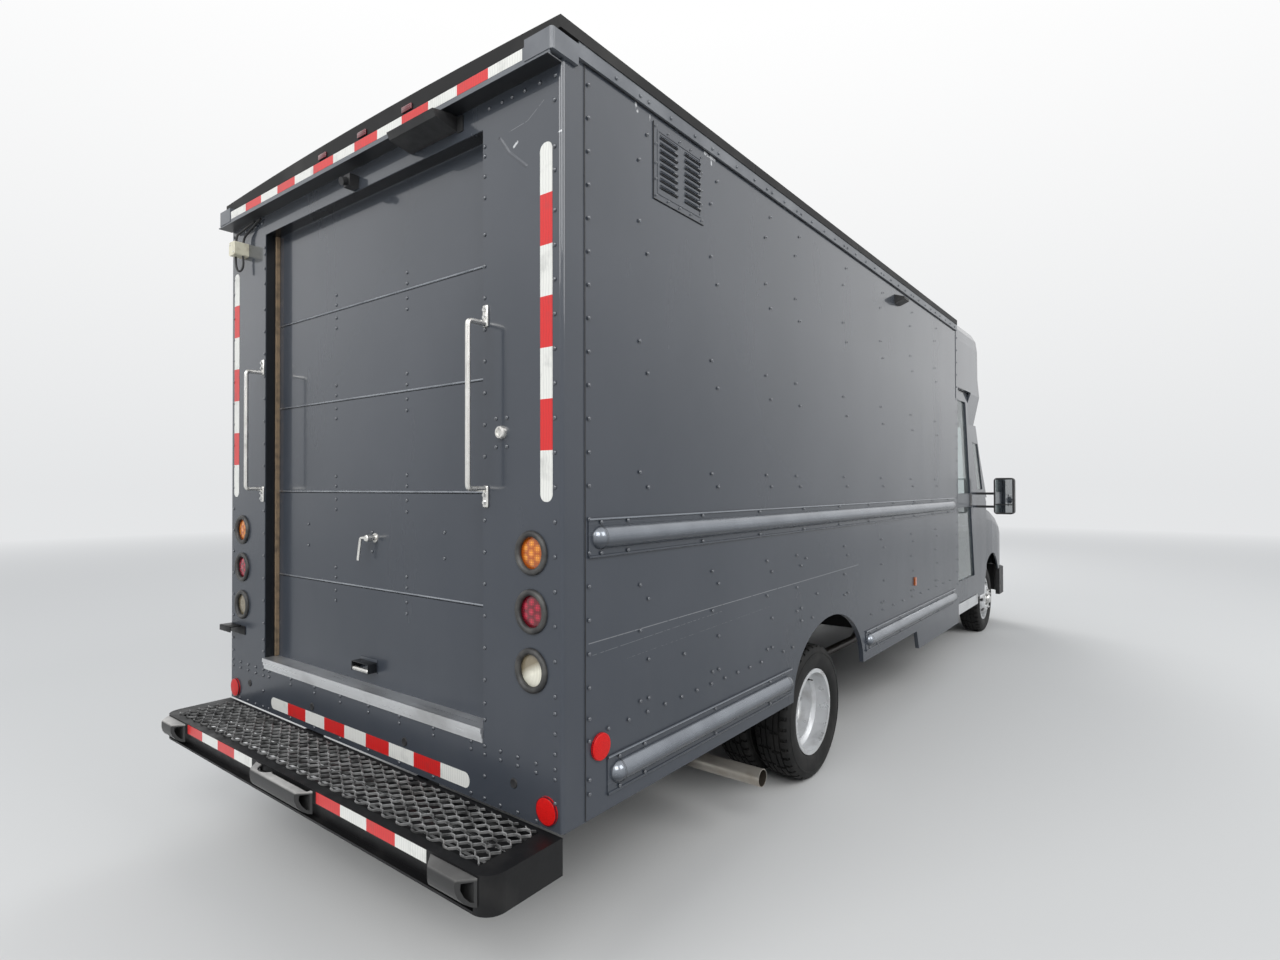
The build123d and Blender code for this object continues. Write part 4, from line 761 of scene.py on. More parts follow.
# Seams of the walls
# A bead of dark sealant fills the joint between each corner post and its wall. The thin dark strip
# under each roof rail is painted shadow.
JOINT_AND_SHADE_DARK = (0.012, 0.012, 0.013)
SEAM_STATION = 0.096
SEAM_WIDTH = 0.0020
SEAM_FOOT = 0.130
BEAD_RISE = 0.0008
RAIL_SHADOW_RISE = 0.0010
SUNK = 0.001


def slab(low, high, soft=0.0, segments=2):
    """A straight block between two corners, with softened edges."""
    clear_choice()
    low, high = Vector(low), Vector(high)
    bpy.ops.mesh.primitive_cube_add(size=1, location=(low + high) / 2)
    piece = bpy.context.object
    piece.scale = high - low
    bpy.ops.object.transform_apply(location=True, rotation=False, scale=True)
    if soft:
        edges = piece.modifiers.new("edges", "BEVEL")
        edges.width = soft
        edges.segments = segments
        bpy.ops.object.modifier_apply(modifier="edges")
    return piece


def mirrored(pieces):
    """The pieces of the right side with their mirror images on the left side."""
    pieces = list(pieces)
    for piece in list(pieces):
        copy = twin(piece, piece.location, piece.rotation_euler)
        take(copy)
        bpy.ops.object.transform_apply(location=True, rotation=True, scale=True)
        bpy.ops.object.mode_set(mode="EDIT")
        bpy.ops.mesh.select_all(action="SELECT")
        bpy.ops.transform.resize(value=(-1, 1, 1), center_override=(0, 0, 0))
        bpy.ops.mesh.flip_normals()
        bpy.ops.object.mode_set(mode="OBJECT")
        pieces.append(copy)
    return pieces


# One dark finish for the real joints, plugs, rings and cables, and for the painted shade strips under the
# roof rails and louvre hoods.
joint_and_shade = new_finish("joint_and_shade_black", JOINT_AND_SHADE_DARK, 0.55)
patchy(joint_and_shade, JOINT_AND_SHADE_DARK, (0.05, 0.048, 0.045), 30, 0.55, 0.85)
rail_low, rail_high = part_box("roof_rails")
wall_low, wall_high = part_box("side_walls")
seam_y = REAR_FACE + SEAM_STATION
seam_foot = wall_low.z + SEAM_FOOT
seams = [slab((WALL_X - SUNK, seam_y - SEAM_WIDTH / 2, seam_foot),
              (WALL_X + BEAD_RISE, seam_y + SEAM_WIDTH / 2, rail_low.z)),
         # Painted shadow: a dark strip under the roof rail.
         slab((WALL_X - SUNK, seam_y, rail_low.z - SEAM_WIDTH),
              (WALL_X + RAIL_SHADOW_RISE, rail_high.y, rail_low.z))]
settle(unite(mirrored(seams)), "wall_seams", joint_and_shade)

# Side vents
# A riveted plate with two columns of pressed louvres, each a hood over a slot. A thin dark strip
# under each hood is painted shade, and thin dark lines run along the plate's rear and bottom edges.
VENT_STATIONS = (0.461, 0.534, 0.606, 0.679, 0.752)
VENT_HEIGHTS = (2.518, 2.575, 2.630, 2.696, 2.757)
LOUVRE_SPANS = ((0.487, 0.591), (0.640, 0.742))
LOUVRE_LOW = 2.553
LOUVRE_PITCH = 0.0247
LOUVRE_COUNT = 8
SLOT_HEIGHT = 0.0036
SLOT_RISE = 0.0026
VENT_EDGE = 0.0018
EDGE_RISE = 0.0012
VENT_SEAT = 0.002
slots = []
# Painted shade: a dark strip under each louvre's hood.
for index in range(LOUVRE_COUNT):
    slot_top = LOUVRE_LOW + LOUVRE_PITCH * index
    for start, end in LOUVRE_SPANS:
        slots.append(slab((WALL_X, REAR_FACE + start, slot_top - SLOT_HEIGHT),
                          (WALL_X + SLOT_RISE, REAR_FACE + end, slot_top)))
vent_low, vent_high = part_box("side_vents")
slots += [slab((WALL_X - SUNK, vent_low.y - VENT_EDGE, vent_low.z - VENT_EDGE),
               (WALL_X + EDGE_RISE, vent_low.y, vent_high.z)),
          slab((WALL_X - SUNK, vent_low.y, vent_low.z - VENT_EDGE),
               (WALL_X + EDGE_RISE, vent_high.y, vent_low.z))]
settle(unite(mirrored(slots)), "louvre_slot_shades", joint_and_shade)
small_head = rivet(0.0042, 0.0022)
vent_spots = [(station, z) for station in VENT_STATIONS for z in VENT_HEIGHTS
              if station in VENT_STATIONS[::4] or z in VENT_HEIGHTS[::4]]
vent_heads = side_rivets(vent_spots, WALL_X + VENT_SEAT, small_head)
settle(unite(vent_heads), "vent_rivets", rivet_highlit_paint)

# Rub rails
# Half-round aluminium mouldings over flat flanges with rolled lips, painted with the body and
# riveted through the flange above and below. The upper half of each round is coloured lighter and
# metallic, with worn patches, as a painted highlight, and the lower half keeps the body colour as
# painted shade. A bullet-shaped end cap closes each moulding.
RUB_HIGHLIGHT = (0.23, 0.25, 0.28)
RUB_FLAT = 0.0055
RUB_BELLY = ((1.345, 1.368), (0.606, 0.630))
RUB_STEPS = (0.055, 0.187, 0.637, 1.092, 1.540)
RUB_PITCH = 0.452
RUB_INSET = 0.014
RUB_STAND = 0.032
RUB_SEAT = 0.004
JOINT_RADIUS = 0.0006
RUB_HIGHLIGHT_WORN = (0.16, 0.175, 0.20)
RUB_ROWS = ((0.110, 4.540, 1.299, 1.422), (0.197, 1.511, 0.558, 0.679),
            (2.499, 4.570, 0.566, 0.683))
RUB_SHARE = 0.3
CAP_JOINT = 0.058
rub_highlit = new_finish("rub_rail_highlight", RUB_HIGHLIGHT, 0.2, coat=0.7)
rub_place = axes(rub_highlit)
rub_across = sum_up(rub_highlit, "ABSOLUTE", rub_place["X"])
stands_out = ramp(rub_highlit, rub_across, WALL_X + RUB_FLAT - 0.0005, WALL_X + RUB_FLAT)
rub_wear = ramp(rub_highlit, noise(rub_highlit, 6, 5.0), 0.4, 0.75)
worn_highlight = blend_colours(rub_highlit, rub_wear, RUB_HIGHLIGHT, RUB_HIGHLIGHT_WORN)
# Painted highlight on the upper half of each moulding's round, painted shade below it.
is_high = past(rub_highlit, rub_place["Z"], 1.0)
high_top = all_of(rub_highlit, is_high, ramp(rub_highlit, rub_place["Z"], *RUB_BELLY[0]))
low_top = all_of(rub_highlit, sum_up(rub_highlit, "SUBTRACT", 1.0, is_high),
                 ramp(rub_highlit, rub_place["Z"], *RUB_BELLY[1]))
bright = all_of(rub_highlit, stands_out, sum_up(rub_highlit, "MAXIMUM", high_top, low_top))
set_surface(rub_highlit, "Base Color", blend_colours(rub_highlit, bright, PAINT, worn_highlight))
set_surface(rub_highlit, "Metallic", ramp(rub_highlit, bright, 0.0, 1.0, 0.0, 0.75))
set_surface(rub_highlit, "Coat Weight", ramp(rub_highlit, bright, 0.0, 1.0, 0.1, 0.7))
vary_gloss(rub_highlit, 0.16, 0.32, 1, 4.0, scale=(40, 2, 40))
dress(rub_highlit, "rub_rails")
rub_spots, joints = [], []
for rear_end, front_end, low_edge, high_edge in RUB_ROWS:
    stations = [rear_end + step for step in RUB_STEPS]
    while stations[-1] + RUB_PITCH < front_end:
        stations.append(stations[-1] + RUB_PITCH)
    for station in stations:
        if station < front_end:
            rub_spots += [(station, low_edge + RUB_INSET), (station, high_edge - RUB_INSET)]
    middle = (low_edge + high_edge) / 2
    radius = (high_edge - low_edge) * RUB_SHARE
    for station in (rear_end + CAP_JOINT, front_end - CAP_JOINT):
        clear_choice()
        joint_place = (WALL_X + RUB_STAND - radius, REAR_FACE + station, middle)
        bpy.ops.mesh.primitive_torus_add(major_radius=radius, minor_radius=JOINT_RADIUS, major_segments=40,
                                         minor_segments=6, rotation=FACINGS["rear"], location=joint_place)
        joint = bpy.context.object
        bpy.ops.object.transform_apply(location=True, rotation=True, scale=True)
        bpy.ops.object.mode_set(mode="EDIT")
        bpy.ops.mesh.select_all(action="SELECT")
        bpy.ops.mesh.bisect(plane_co=(WALL_X + SUNK, 0, 0), plane_no=(1, 0, 0), use_fill=True,
                            clear_inner=True)
        bpy.ops.object.mode_set(mode="OBJECT")
        joints.append(joint)
settle(unite(side_rivets(rub_spots, WALL_X + RUB_SEAT)), "rub_rail_rivets", rivet_highlit_paint)
settle(unite(mirrored(joints)), "rub_rail_joints", joint_and_shade)

# Roof
# A black skin in sheets that lap at every other bow, folded down over a pale aluminium rail on
# each wall, which is riveted all along. Three small red lamps sit on its rear edge.
RAIL_GREY = (0.085, 0.094, 0.108)
RAIL_WORN = (0.17, 0.18, 0.195)
BLACK = (0.006, 0.006, 0.0065)
RAIL_ROW = 0.018
RAIL_SPOTS = (0.235, 0.362, 0.408, 0.538, 0.694, 0.816, 0.862, 1.005, 1.156, 1.270, 1.318, 1.442, 1.575,
              1.622, 1.746, 1.900, 2.040, 2.169, 2.217, 2.344, 2.503, 2.655, 2.773, 2.820, 2.957, 3.106,
              3.252, 3.383, 3.435, 3.562, 3.720, 3.866, 3.991, 4.120, 4.286, 4.430, 4.570)
ROOF_LAP = 1.22
EDGE_LAMPS = (-0.210, 0.080, 0.370)
rail_finish = new_finish("grey_rail", RAIL_GREY, 0.35, metal=0.2, coat=0.4)
patchy(rail_finish, RAIL_GREY, RAIL_WORN, 5, 0.45, 0.8)
roughen(rail_finish, [(noise(rail_finish, 90), 0.06, 0.001)])
dress(rail_finish, "roof_rails")
black_paint = new_finish("black_paint", BLACK, 0.4, gloss=0.25)
vary_gloss(black_paint, 0.32, 0.55, 14, 4.0)
patchy(black_paint, BLACK, (0.028, 0.027, 0.026), 6, 0.55, 0.9)
roughen(black_paint, [(noise(black_paint, 120), 0.1, 0.002)])
dress(black_paint, "rear_bumper")
roof_skin = new_finish("roof_skin", BLACK, 0.5, gloss=0.2)
patchy(roof_skin, BLACK, (0.035, 0.034, 0.032), 3, 0.5, 0.85)
roof_place = axes(roof_skin)
lap = sum_up(roof_skin, "PINGPONG", roof_place["Y"], ROOF_LAP / 2)
roughen(roof_skin, [(ramp(roof_skin, lap, 0.004, 0.008), 0.6, 0.004), (noise(roof_skin, 2, 2.0), 0.3, 0.01),
                    (noise(roof_skin, 120), 0.1, 0.002)])
dress(roof_skin, "roof_panel")
rail_spots = [(station, rail_low.z + RAIL_ROW) for station in RAIL_SPOTS]
settle(unite(side_rivets(rail_spots, rail_high.x)), "roof_rail_rivets", rail_finish)

# Rear frame
# Corner posts, header and apron of folded aluminium sheet round the door opening, riveted up in
# columns and rows and painted with the body. Rubber plugs close four holes of the apron, and a
# small bent bracket that once held a plate lamp stays on the left post.
POST_IN = 0.762
POST_OUT = 1.074
INNER_TOP = (2.608, 2.577, 2.512, 2.443)
INNER_LOW = (0.828, 0.776, 0.693, 0.666, 0.597, 0.527)
OUTER_TOP = (2.653, 2.516, 2.446)
OUTER_LOW = (0.856, 0.797, 0.738, 0.694, 0.665, 0.596)
SHORT_ROWS = ((0.837, 0.693), (0.837, 0.666), (0.915, 0.693), (0.915, 0.667), (0.995, 0.693),
              (0.995, 0.666), (0.836, 0.525), (0.915, 0.526), (0.997, 0.524))
TOP_ROW = (0.785, 0.846, 0.892, 0.949, 1.014, 1.079)
APRON_PITCH = 0.2003
PLUG_PLACES = ((0.897, 0.609), (0.326, 0.609))
PLUG_HALF = [(0.0, 0.0020), (0.0095, 0.0022), (0.0125, 0.0032), (0.0150, 0.0022), (0.0158, 0.0)]
rear_spots = [(POST_IN, z) for z in INNER_TOP + tuple(down(2.325, 15)) + INNER_LOW]
rear_spots += [(POST_OUT, z) for z in OUTER_TOP + tuple(down(2.328, 15)) + OUTER_LOW]
rear_spots += list(SHORT_ROWS) + [(x, 2.723) for x in TOP_ROW]
rear_spots += [(-x, z) for x, z in rear_spots]
for step in range(8):
    x = -0.707 + APRON_PITCH * step
    rear_spots += [(x, 0.705 - 0.012), (x, 0.669), (x, 0.527)]
rear_heads = repeat(head, [(x, REAR_FACE, z) for x, z in rear_spots], "rear")
settle(unite(rear_heads), "rear_frame_rivets", rivet_highlit_paint)
plug = spun(PLUG_HALF, 24)
plug_places = [(side * x, REAR_FACE, z) for side in (-1, 1) for x, z in PLUG_PLACES]
settle(unite(repeat(plug, plug_places, "rear")), "apron_plugs", joint_and_shade)
bpy.data.objects.remove(plug)
bracket = [slab((-1.100, REAR_FACE - 0.004, 0.826), (-0.945, REAR_FACE, 0.866), 0.001),
           slab((-1.100, REAR_FACE - 0.052, 0.862), (-0.985, REAR_FACE, 0.866), 0.001),
           slab((-1.100, REAR_FACE - 0.052, 0.840), (-0.985, REAR_FACE - 0.048, 0.866), 0.001)]
settle(unite(bracket), "plate_lamp_bracket", black_paint)

# Rear door
# Five hinged aluminium panels that roll up inside the header, each with a rolled lip along its
# lower edge and rivets in short columns above and below each joint. A tan brush seal runs up
# both jambs.
DOOR_COLUMNS = (-0.250, 0.250)
JOINT_SHIFTS = (-0.069, -0.027, 0.027, 0.068)
JOINT_HEIGHTS = (1.117, 1.494, 1.871, 2.248)
LIP_RADIUS = 0.0035
LIP_RISE = 0.0055
SEAL_TAN = (0.24, 0.17, 0.105)
door_places = [(x, door_face, z + shift)
               for x in DOOR_COLUMNS for z in JOINT_HEIGHTS for shift in JOINT_SHIFTS]
door_places += [(x, door_face, z) for x in (-0.476, 0.476) for z in (1.266, 1.357)]
door_places += [(0.020, door_face, z) for z in (1.265, 1.341)]
settle(unite(repeat(head, door_places, "rear")), "rear_door_rivets", rivet_highlit_paint)
lip_end = OPENING_HALF + 0.01
lips = [round_bar((-lip_end, door_face, z + LIP_RISE), (lip_end, door_face, z + LIP_RISE), LIP_RADIUS)
        for z in JOINT_HEIGHTS]
# The lips are coloured much lighter than the door and metallic, with worn patches: painted highlight lines
# along the joints.
lip_highlight = new_finish("lip_highlight_edge", (0.30, 0.32, 0.35), 0.28, metal=0.75, coat=0.4)
patchy(lip_highlight, (0.30, 0.32, 0.35), (0.17, 0.185, 0.21), 12, 0.45, 0.75)
vary_gloss(lip_highlight, 0.2, 0.36, 30, 4.0)
settle(unite(lips), "door_joint_lips", lip_highlight)
brush = new_finish("tan_seal", SEAL_TAN, 0.9)
patchy(brush, SEAL_TAN, (0.10, 0.075, 0.05), 30, 0.45, 0.75)
roughen(brush, [(noise(brush, 1, 2.0, scale=(500, 500, 60)), 0.4, 0.002)])
header_low = 2.665
seals = [slab((OPENING_HALF - 0.012, door_face - 0.016, 0.750),
              (OPENING_HALF + 0.001, door_face - 0.0008, header_low))]
settle(unite(mirrored(seals)), "jamb_seals", brush)

# Bright metal of the door sill, steps and tracks
# Extruded and rolled aluminium left bare, brushed lengthwise and scuffed by boots.
ALUMINIUM = (0.66, 0.67, 0.68)
ALUMINIUM_DULL = (0.40, 0.40, 0.40)
TREAD_RIB = 0.0018
WHEEL_BOX_IN = 0.45
WHEEL_BOX_REACH = 0.75
aluminium = new_finish("bare_aluminium", ALUMINIUM, 0.35, metal=0.85)
patchy(aluminium, ALUMINIUM, ALUMINIUM_DULL, 5, 0.45, 0.8)
vary_gloss(aluminium, 0.25, 0.48, 1, 4.0, scale=(4, 180, 180))
roughen(aluminium, [(noise(aluminium, 1, 2.0, scale=(3, 300, 300)), 0.08, 0.001)])
dress(aluminium, "door_sill", "bulkhead", "side_steps", "door_tracks")
SILL_LIP = 0.012
# The cargo floor is bare aluminium on top. Below the sill and round the rear wheels it turns black, rough
# and not metallic as painted shade.
floor_metal = new_finish("cargo_floor_metal", ALUMINIUM_DULL, 0.45, metal=0.8)
floor_place = axes(floor_metal)
wheel_low, wheel_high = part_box("rear_tyres_right")
axle_spot = ((wheel_low.y + wheel_high.y) / 2, (wheel_low.z + wheel_high.z) / 2, 0)
side_view = flat_point(floor_metal, floor_place["Y"], floor_place["Z"])
from_axle = on_vectors(floor_metal, "DISTANCE", side_view, axle_spot).outputs["Value"]
at_side = past(floor_metal, sum_up(floor_metal, "ABSOLUTE", floor_place["X"]), WHEEL_BOX_IN)
by_wheel = all_of(floor_metal, at_side, short_of(floor_metal, from_axle, WHEEL_BOX_REACH))
below = short_of(floor_metal, floor_place["Z"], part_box("door_sill")[1].z - SILL_LIP)
shaded_below = sum_up(floor_metal, "MAXIMUM", by_wheel, below)
floor_wear = ramp(floor_metal, noise(floor_metal, 5, 5.0), 0.45, 0.8)
scuffed = blend_colours(floor_metal, floor_wear, ALUMINIUM, ALUMINIUM_DULL)
set_surface(floor_metal, "Base Color", blend_colours(floor_metal, shaded_below, scuffed, BLACK))
set_surface(floor_metal, "Roughness", ramp(floor_metal, shaded_below, 0.0, 1.0, 0.45, 0.95))
set_surface(floor_metal, "Metallic", ramp(floor_metal, shaded_below, 0.0, 1.0, 0.8, 0.0))
roughen(floor_metal, [(noise(floor_metal, 120), 0.1, 0.002)])
dress(floor_metal, "cargo_floor")
step_low, step_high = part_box("side_steps")
ribs = []
for index in range(9):
    rib_x = 0.715 + 0.036 * index
    ribs.append(slab((rib_x, step_low.y + 0.02, step_high.z - 0.001),
                     (rib_x + 0.010, step_high.y - 0.02, step_high.z + TREAD_RIB),
                     0.0008))
for index in range(4):
    rib_z = step_high.z - 0.020 - 0.018 * index
    ribs.append(slab((step_high.x - 0.001, step_low.y + 0.02, rib_z),
                     (step_high.x + 0.002, step_high.y - 0.02, rib_z + 0.007),
                     0.0008))
settle(unite(mirrored(ribs)), "side_step_ribs", aluminium)

# Conspicuity tape
# Strips of retroreflective tape two inches wide, in six-inch blocks of red and white with
# rounded ends, stuck to the posts, the apron, the gutter and the front of the step.
TAPE_WIDTH = 0.0508
TAPE_BLOCK = 0.1524
TAPE_THICK = 0.0006
TAPE_WHITE = (0.74, 0.74, 0.70)
TAPE_RED = (0.62, 0.012, 0.012)


def tape_finish(name, colour):
    """A glassy film over fine beads, with faint waves along the strip."""
    made = new_finish(name, colour, 0.35, coat=0.3)
    beads = add_node(made, "ShaderNodeTexVoronoi", Scale=420)
    join_up(made, object_place(made), beads.inputs["Vector"])
    waves = add_node(made, "ShaderNodeTexWave", Scale=28, Distortion=3.0)
    join_up(made, object_place(made), waves.inputs["Vector"])
    dulled = tuple(0.78 * part for part in colour)
    grimy = tuple(0.45 * part + 0.03 for part in colour)
    base = blend_colours(made, ramp(made, waves.outputs["Fac"], 0.55, 1.0, 0.0, 0.6), colour, dulled)
    grime = ramp(made, noise(made, 18, 6.0), 0.55, 0.85, 0, 0.7)
    set_surface(made, "Base Color", blend_colours(made, grime, base, grimy))
    roughen(made, [(beads.outputs["Distance"], 0.08, 0.0006)])
    return made


white_tape = tape_finish("white_tape", TAPE_WHITE)
red_tape = tape_finish("red_tape", TAPE_RED)


def tape_strip(name, centre, blocks, upright=False, length=None, width=TAPE_WIDTH, red_first=False,
               rounded=True):
    """A strip of tape facing the rear, its blocks alternating from its low or left end."""
    clear_choice()
    whole = length or blocks * TAPE_BLOCK
    bpy.ops.mesh.primitive_grid_add(x_subdivisions=blocks, y_subdivisions=1, size=1, location=(0, 0, 0))
    strip = bpy.context.object
    strip.scale = (whole, width, 1)
    bpy.ops.object.transform_apply(location=False, rotation=False, scale=True)
    bpy.ops.object.mode_set(mode="EDIT")
    if rounded:
        pick(lambda corner: abs(corner.co.x) > whole / 2 - 0.001, "VERT")
        bpy.ops.mesh.bevel(offset=width * 0.46, segments=8, affect="VERTICES")
    bpy.ops.object.mode_set(mode="OBJECT")
    strip.data.materials.append(white_tape)
    strip.data.materials.append(red_tape)
    for face in strip.data.polygons:
        index = int((face.center.x + whole / 2) / whole * blocks)
        face.material_index = (index + int(red_first)) % 2
    thick = strip.modifiers.new("film", "SOLIDIFY")
    thick.thickness = TAPE_THICK
    thick.offset = 1
    bpy.ops.object.modifier_apply(modifier="film")
    strip.rotation_euler = (math.radians(90), math.radians(-90) if upright else 0, 0)
    strip.location = centre
    return settle(strip, name, None, smooth=20)


visor_low, visor_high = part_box("rear_visor")
step_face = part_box("rear_bumper")[0].y
tape_strip("tape_right_post", (1.039, REAR_FACE, 2.0055), 7, upright=True)
tape_strip("tape_left_post", (-1.045, REAR_FACE, 2.0055), 7, upright=True)
tape_strip("tape_apron", (0, REAR_FACE, 0.560), 9)
tape_strip("tape_gutter", (0, visor_low.y + 0.010, 2.794), 13, length=1.98, width=0.034, rounded=False)
for side, tape_side in ((-1, "left"), (1, "right")):
    tape_strip("tape_step_" + tape_side, (side * 0.539, step_face, 0.484), 4, length=0.606, width=0.038,
               red_first=True, rounded=False)

# Lamps
# Sealed four-inch lamps pushed into thick rubber grommets: amber and red ones with a few large
# diodes behind a ribbed lens, and a clear one with a bulb. Round stick-on reflectors are red.
GROMMET = (0.020, 0.020, 0.020)
GROMMET_DUST = (0.075, 0.073, 0.068)
AMBER_DEEP = (0.33, 0.050, 0.004)
AMBER_LIT = (1.0, 0.40, 0.04)
RED_DEEP = (0.075, 0.002, 0.006)
RED_LIT = (0.62, 0.02, 0.06)
CLEAR_DEEP = (0.20, 0.165, 0.105)
CLEAR_RIB = (0.45, 0.42, 0.33)
CLEAR_LIT = (0.82, 0.80, 0.68)
RIB_SCALE = 42
DIODE_CIRCLE = 0.029
DIODES = [(0.0, 0.0)] + [(DIODE_CIRCLE * math.cos(math.radians(60 * step + 30)),
                          DIODE_CIRCLE * math.sin(math.radians(60 * step + 30))) for step in range(6)]
LENS_RADIUS = 0.050


def lens_finish(name, deep, lit, node):
    """A lens with fine crossed ribs and bright diodes showing through them."""
    made = new_finish(name, lit, 0.12, coat=0.4)
    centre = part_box(node)[1].z - LENS_RADIUS
    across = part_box("clear_lamps")[1].x - LENS_RADIUS
    parts = axes(made)
    spot = add_node(made, "ShaderNodeCombineXYZ")
    join_up(made, sum_up(made, "SUBTRACT", sum_up(made, "ABSOLUTE", parts["X"]), across), spot.inputs[0])
    join_up(made, sum_up(made, "SUBTRACT", parts["Z"], centre), spot.inputs[1])
    nearest = None
    for diode in DIODES:
        gap = on_vectors(made, "DISTANCE", spot.outputs[0], (*diode, 0)).outputs["Value"]
        nearest = gap if nearest is None else sum_up(made, "MINIMUM", nearest, gap)
    crossed = None
    for way in ("X", "Z"):
        wave = add_node(made, "ShaderNodeTexWave", Scale=RIB_SCALE, bands_direction=way)
        join_up(made, object_place(made), wave.inputs["Vector"])
        shade = wave.outputs["Fac"]
        crossed = shade if crossed is None else sum_up(made, "MULTIPLY", crossed, shade)
    glow = ramp(made, nearest, 0.014, 0.003, 0.16, 1.0)
    lit_share = sum_up(made, "MULTIPLY", glow, ramp(made, crossed, 0.05, 0.6, 0.45, 1.0))
    set_surface(made, "Base Color", blend_colours(made, lit_share, deep, lit))
    roughen(made, [(crossed, 0.35, 0.0012)])
    return made


amber = lens_finish("amber_lens", AMBER_DEEP, AMBER_LIT, "amber_lamps")
red = lens_finish("red_lens", RED_DEEP, RED_LIT, "red_lamps")
dress(amber, "amber_lamps")
dress(red, "red_lamps")
clear = new_finish("clear_lens", CLEAR_LIT, 0.1, coat=0.8)
clear_place = axes(clear)
clear_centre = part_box("clear_lamps")[1].z - LENS_RADIUS
tilted = sum_up(clear, "MULTIPLY_ADD", clear_place["X"], -0.5, clear_place["Z"])
bowl = ramp(clear, tilted, clear_centre - 0.5 * 0.976 - 0.012, clear_centre - 0.5 * 0.976 + 0.018)
clear_ribs = add_node(clear, "ShaderNodeTexWave", Scale=55, bands_direction="X", Distortion=0.5)
join_up(clear, object_place(clear), clear_ribs.inputs["Vector"])
rib_shade = ramp(clear, clear_ribs.outputs["Fac"], 0.3, 0.9, 0.0, 0.5)
ribbed = blend_colours(clear, rib_shade, CLEAR_LIT, CLEAR_RIB)
set_surface(clear, "Base Color", blend_colours(clear, bowl, ribbed, CLEAR_DEEP))
roughen(clear, [(clear_ribs.outputs["Fac"], 0.4, 0.0012)])
dress(clear, "clear_lamps")
grommet_rubber = new_finish("grommet_rubber", GROMMET, 0.5)
patchy(grommet_rubber, GROMMET, GROMMET_DUST, 22, 0.4, 0.75)
roughen(grommet_rubber, [(noise(grommet_rubber, 300), 0.1, 0.0008)])
dress(grommet_rubber, "lamp_grommets")

reflector_red = new_finish("reflector_red", (0.62, 0.010, 0.010), 0.4, coat=0.05, gloss=0.2)
cells = add_node(reflector_red, "ShaderNodeTexVoronoi", Scale=300)
join_up(reflector_red, object_place(reflector_red), cells.inputs["Vector"])
cell_walls = ramp(reflector_red, cells.outputs["Distance"], 0.1, 0.7)
set_surface(reflector_red, "Base Color",
            blend_colours(reflector_red, cell_walls, (0.70, 0.010, 0.008), (0.50, 0.005, 0.005)))
roughen(reflector_red, [(cells.outputs["Distance"], 0.15, 0.0006)])
REFLECTOR_REAR = (1.042, 0.566)
REFLECTOR_SIDE = (0.163, 0.720)
REFLECTOR_HALF = [(0.0, 0.0092), (0.034, 0.0092), (0.0385, 0.0086), (0.0412, 0.0060), (0.0418, 0.0)]
disc = spun(REFLECTOR_HALF, 40)
discs = repeat(disc, [(side * REFLECTOR_REAR[0], REAR_FACE, REFLECTOR_REAR[1]) for side in (-1, 1)], "rear")
discs += side_rivets([REFLECTOR_SIDE], WALL_X, disc)
bpy.data.objects.remove(disc)
settle(unite(discs), "round_reflectors", reflector_red, smooth=30)
roof_low, roof_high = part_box("roof_panel")
edge_lamps = [slab((x - 0.030, roof_low.y - 0.0060, roof_low.z + 0.003),
                   (x + 0.030, roof_low.y, roof_low.z + 0.025), 0.003)
              for x in EDGE_LAMPS]
settle(unite(edge_lamps), "roof_edge_lamps", red)

# Grab handles, lock and latches
# Bent stainless tube in cast feet with two bolts each, a round keyed lock on the right post,
# and a cranked latch and folded pull on the door.
STAINLESS = (0.74, 0.73, 0.70)
stainless = new_finish("stainless_steel", STAINLESS, 0.25, metal=0.9)
patchy(stainless, STAINLESS, (0.48, 0.47, 0.44), 20, 0.5, 0.85)
vary_gloss(stainless, 0.18, 0.38, 1, scale=(200, 200, 8))
roughen(stainless, [(noise(stainless, 1, 2.0, scale=(400, 400, 10)), 0.05, 0.0006)])
LOCK_PLACE = (0.845, 1.687)
LOCK_HALF = [(0.0, 0.010), (0.0045, 0.0105), (0.0120, 0.0115), (0.0125, 0.0150), (0.0185, 0.0140),
             (0.0205, 0.0100), (0.0215, 0.0)]
GRAB_X = 0.770
GRAB_FEET = ((1.511, -1), (2.037, 1))
GRAB_STAND = 0.074
GRAB_RADIUS = 0.0088
GRAB_BEND = 0.030
PAD_STEPS = (0.020, 0.044)
FOOT_HALF = 0.012
FOOT_LENGTH = 0.060
FOOT_THICK = 0.008
LATCH_PLACE = (0.042, 1.320)
LATCH_HALF = [(0.0, 0.044), (0.0100, 0.0435), (0.0135, 0.0400), (0.0135, 0.0260), (0.0105, 0.0250),
              (0.0105, 0.0040), (0.0180, 0.0035), (0.0190, 0.0)]
LEVER_RADIUS = 0.0060
LEVER_STAND = 0.034
LEVER_DROP = 0.088
PULL_Z = 0.834
PULL_HALF = 0.0585
PULL_DEPTH = 0.042
PULL_SHEET = 0.003
GRIP_DROP = 0.026
GRIP_RADIUS = 0.0085


def tube(points, radius):
    """A round tube along a smooth line from its first to its last point."""
    line = bpy.data.curves.new("tube_line", "CURVE")
    line.dimensions = "3D"
    spline = line.splines.new("NURBS")
    spline.points.add(len(points) - 1)
    for knot, place in zip(spline.points, points):
        knot.co = (*place, 1)
    spline.order_u = 3
    spline.use_endpoint_u = True
    spline.resolution_u = 6
    line.bevel_depth = radius
    line.bevel_resolution = 3
    line.use_fill_caps = True
    piece = bpy.data.objects.new("tube", line)
    bpy.context.collection.objects.link(piece)
    take(piece)
    bpy.ops.object.convert(target="MESH")
    return bpy.context.object


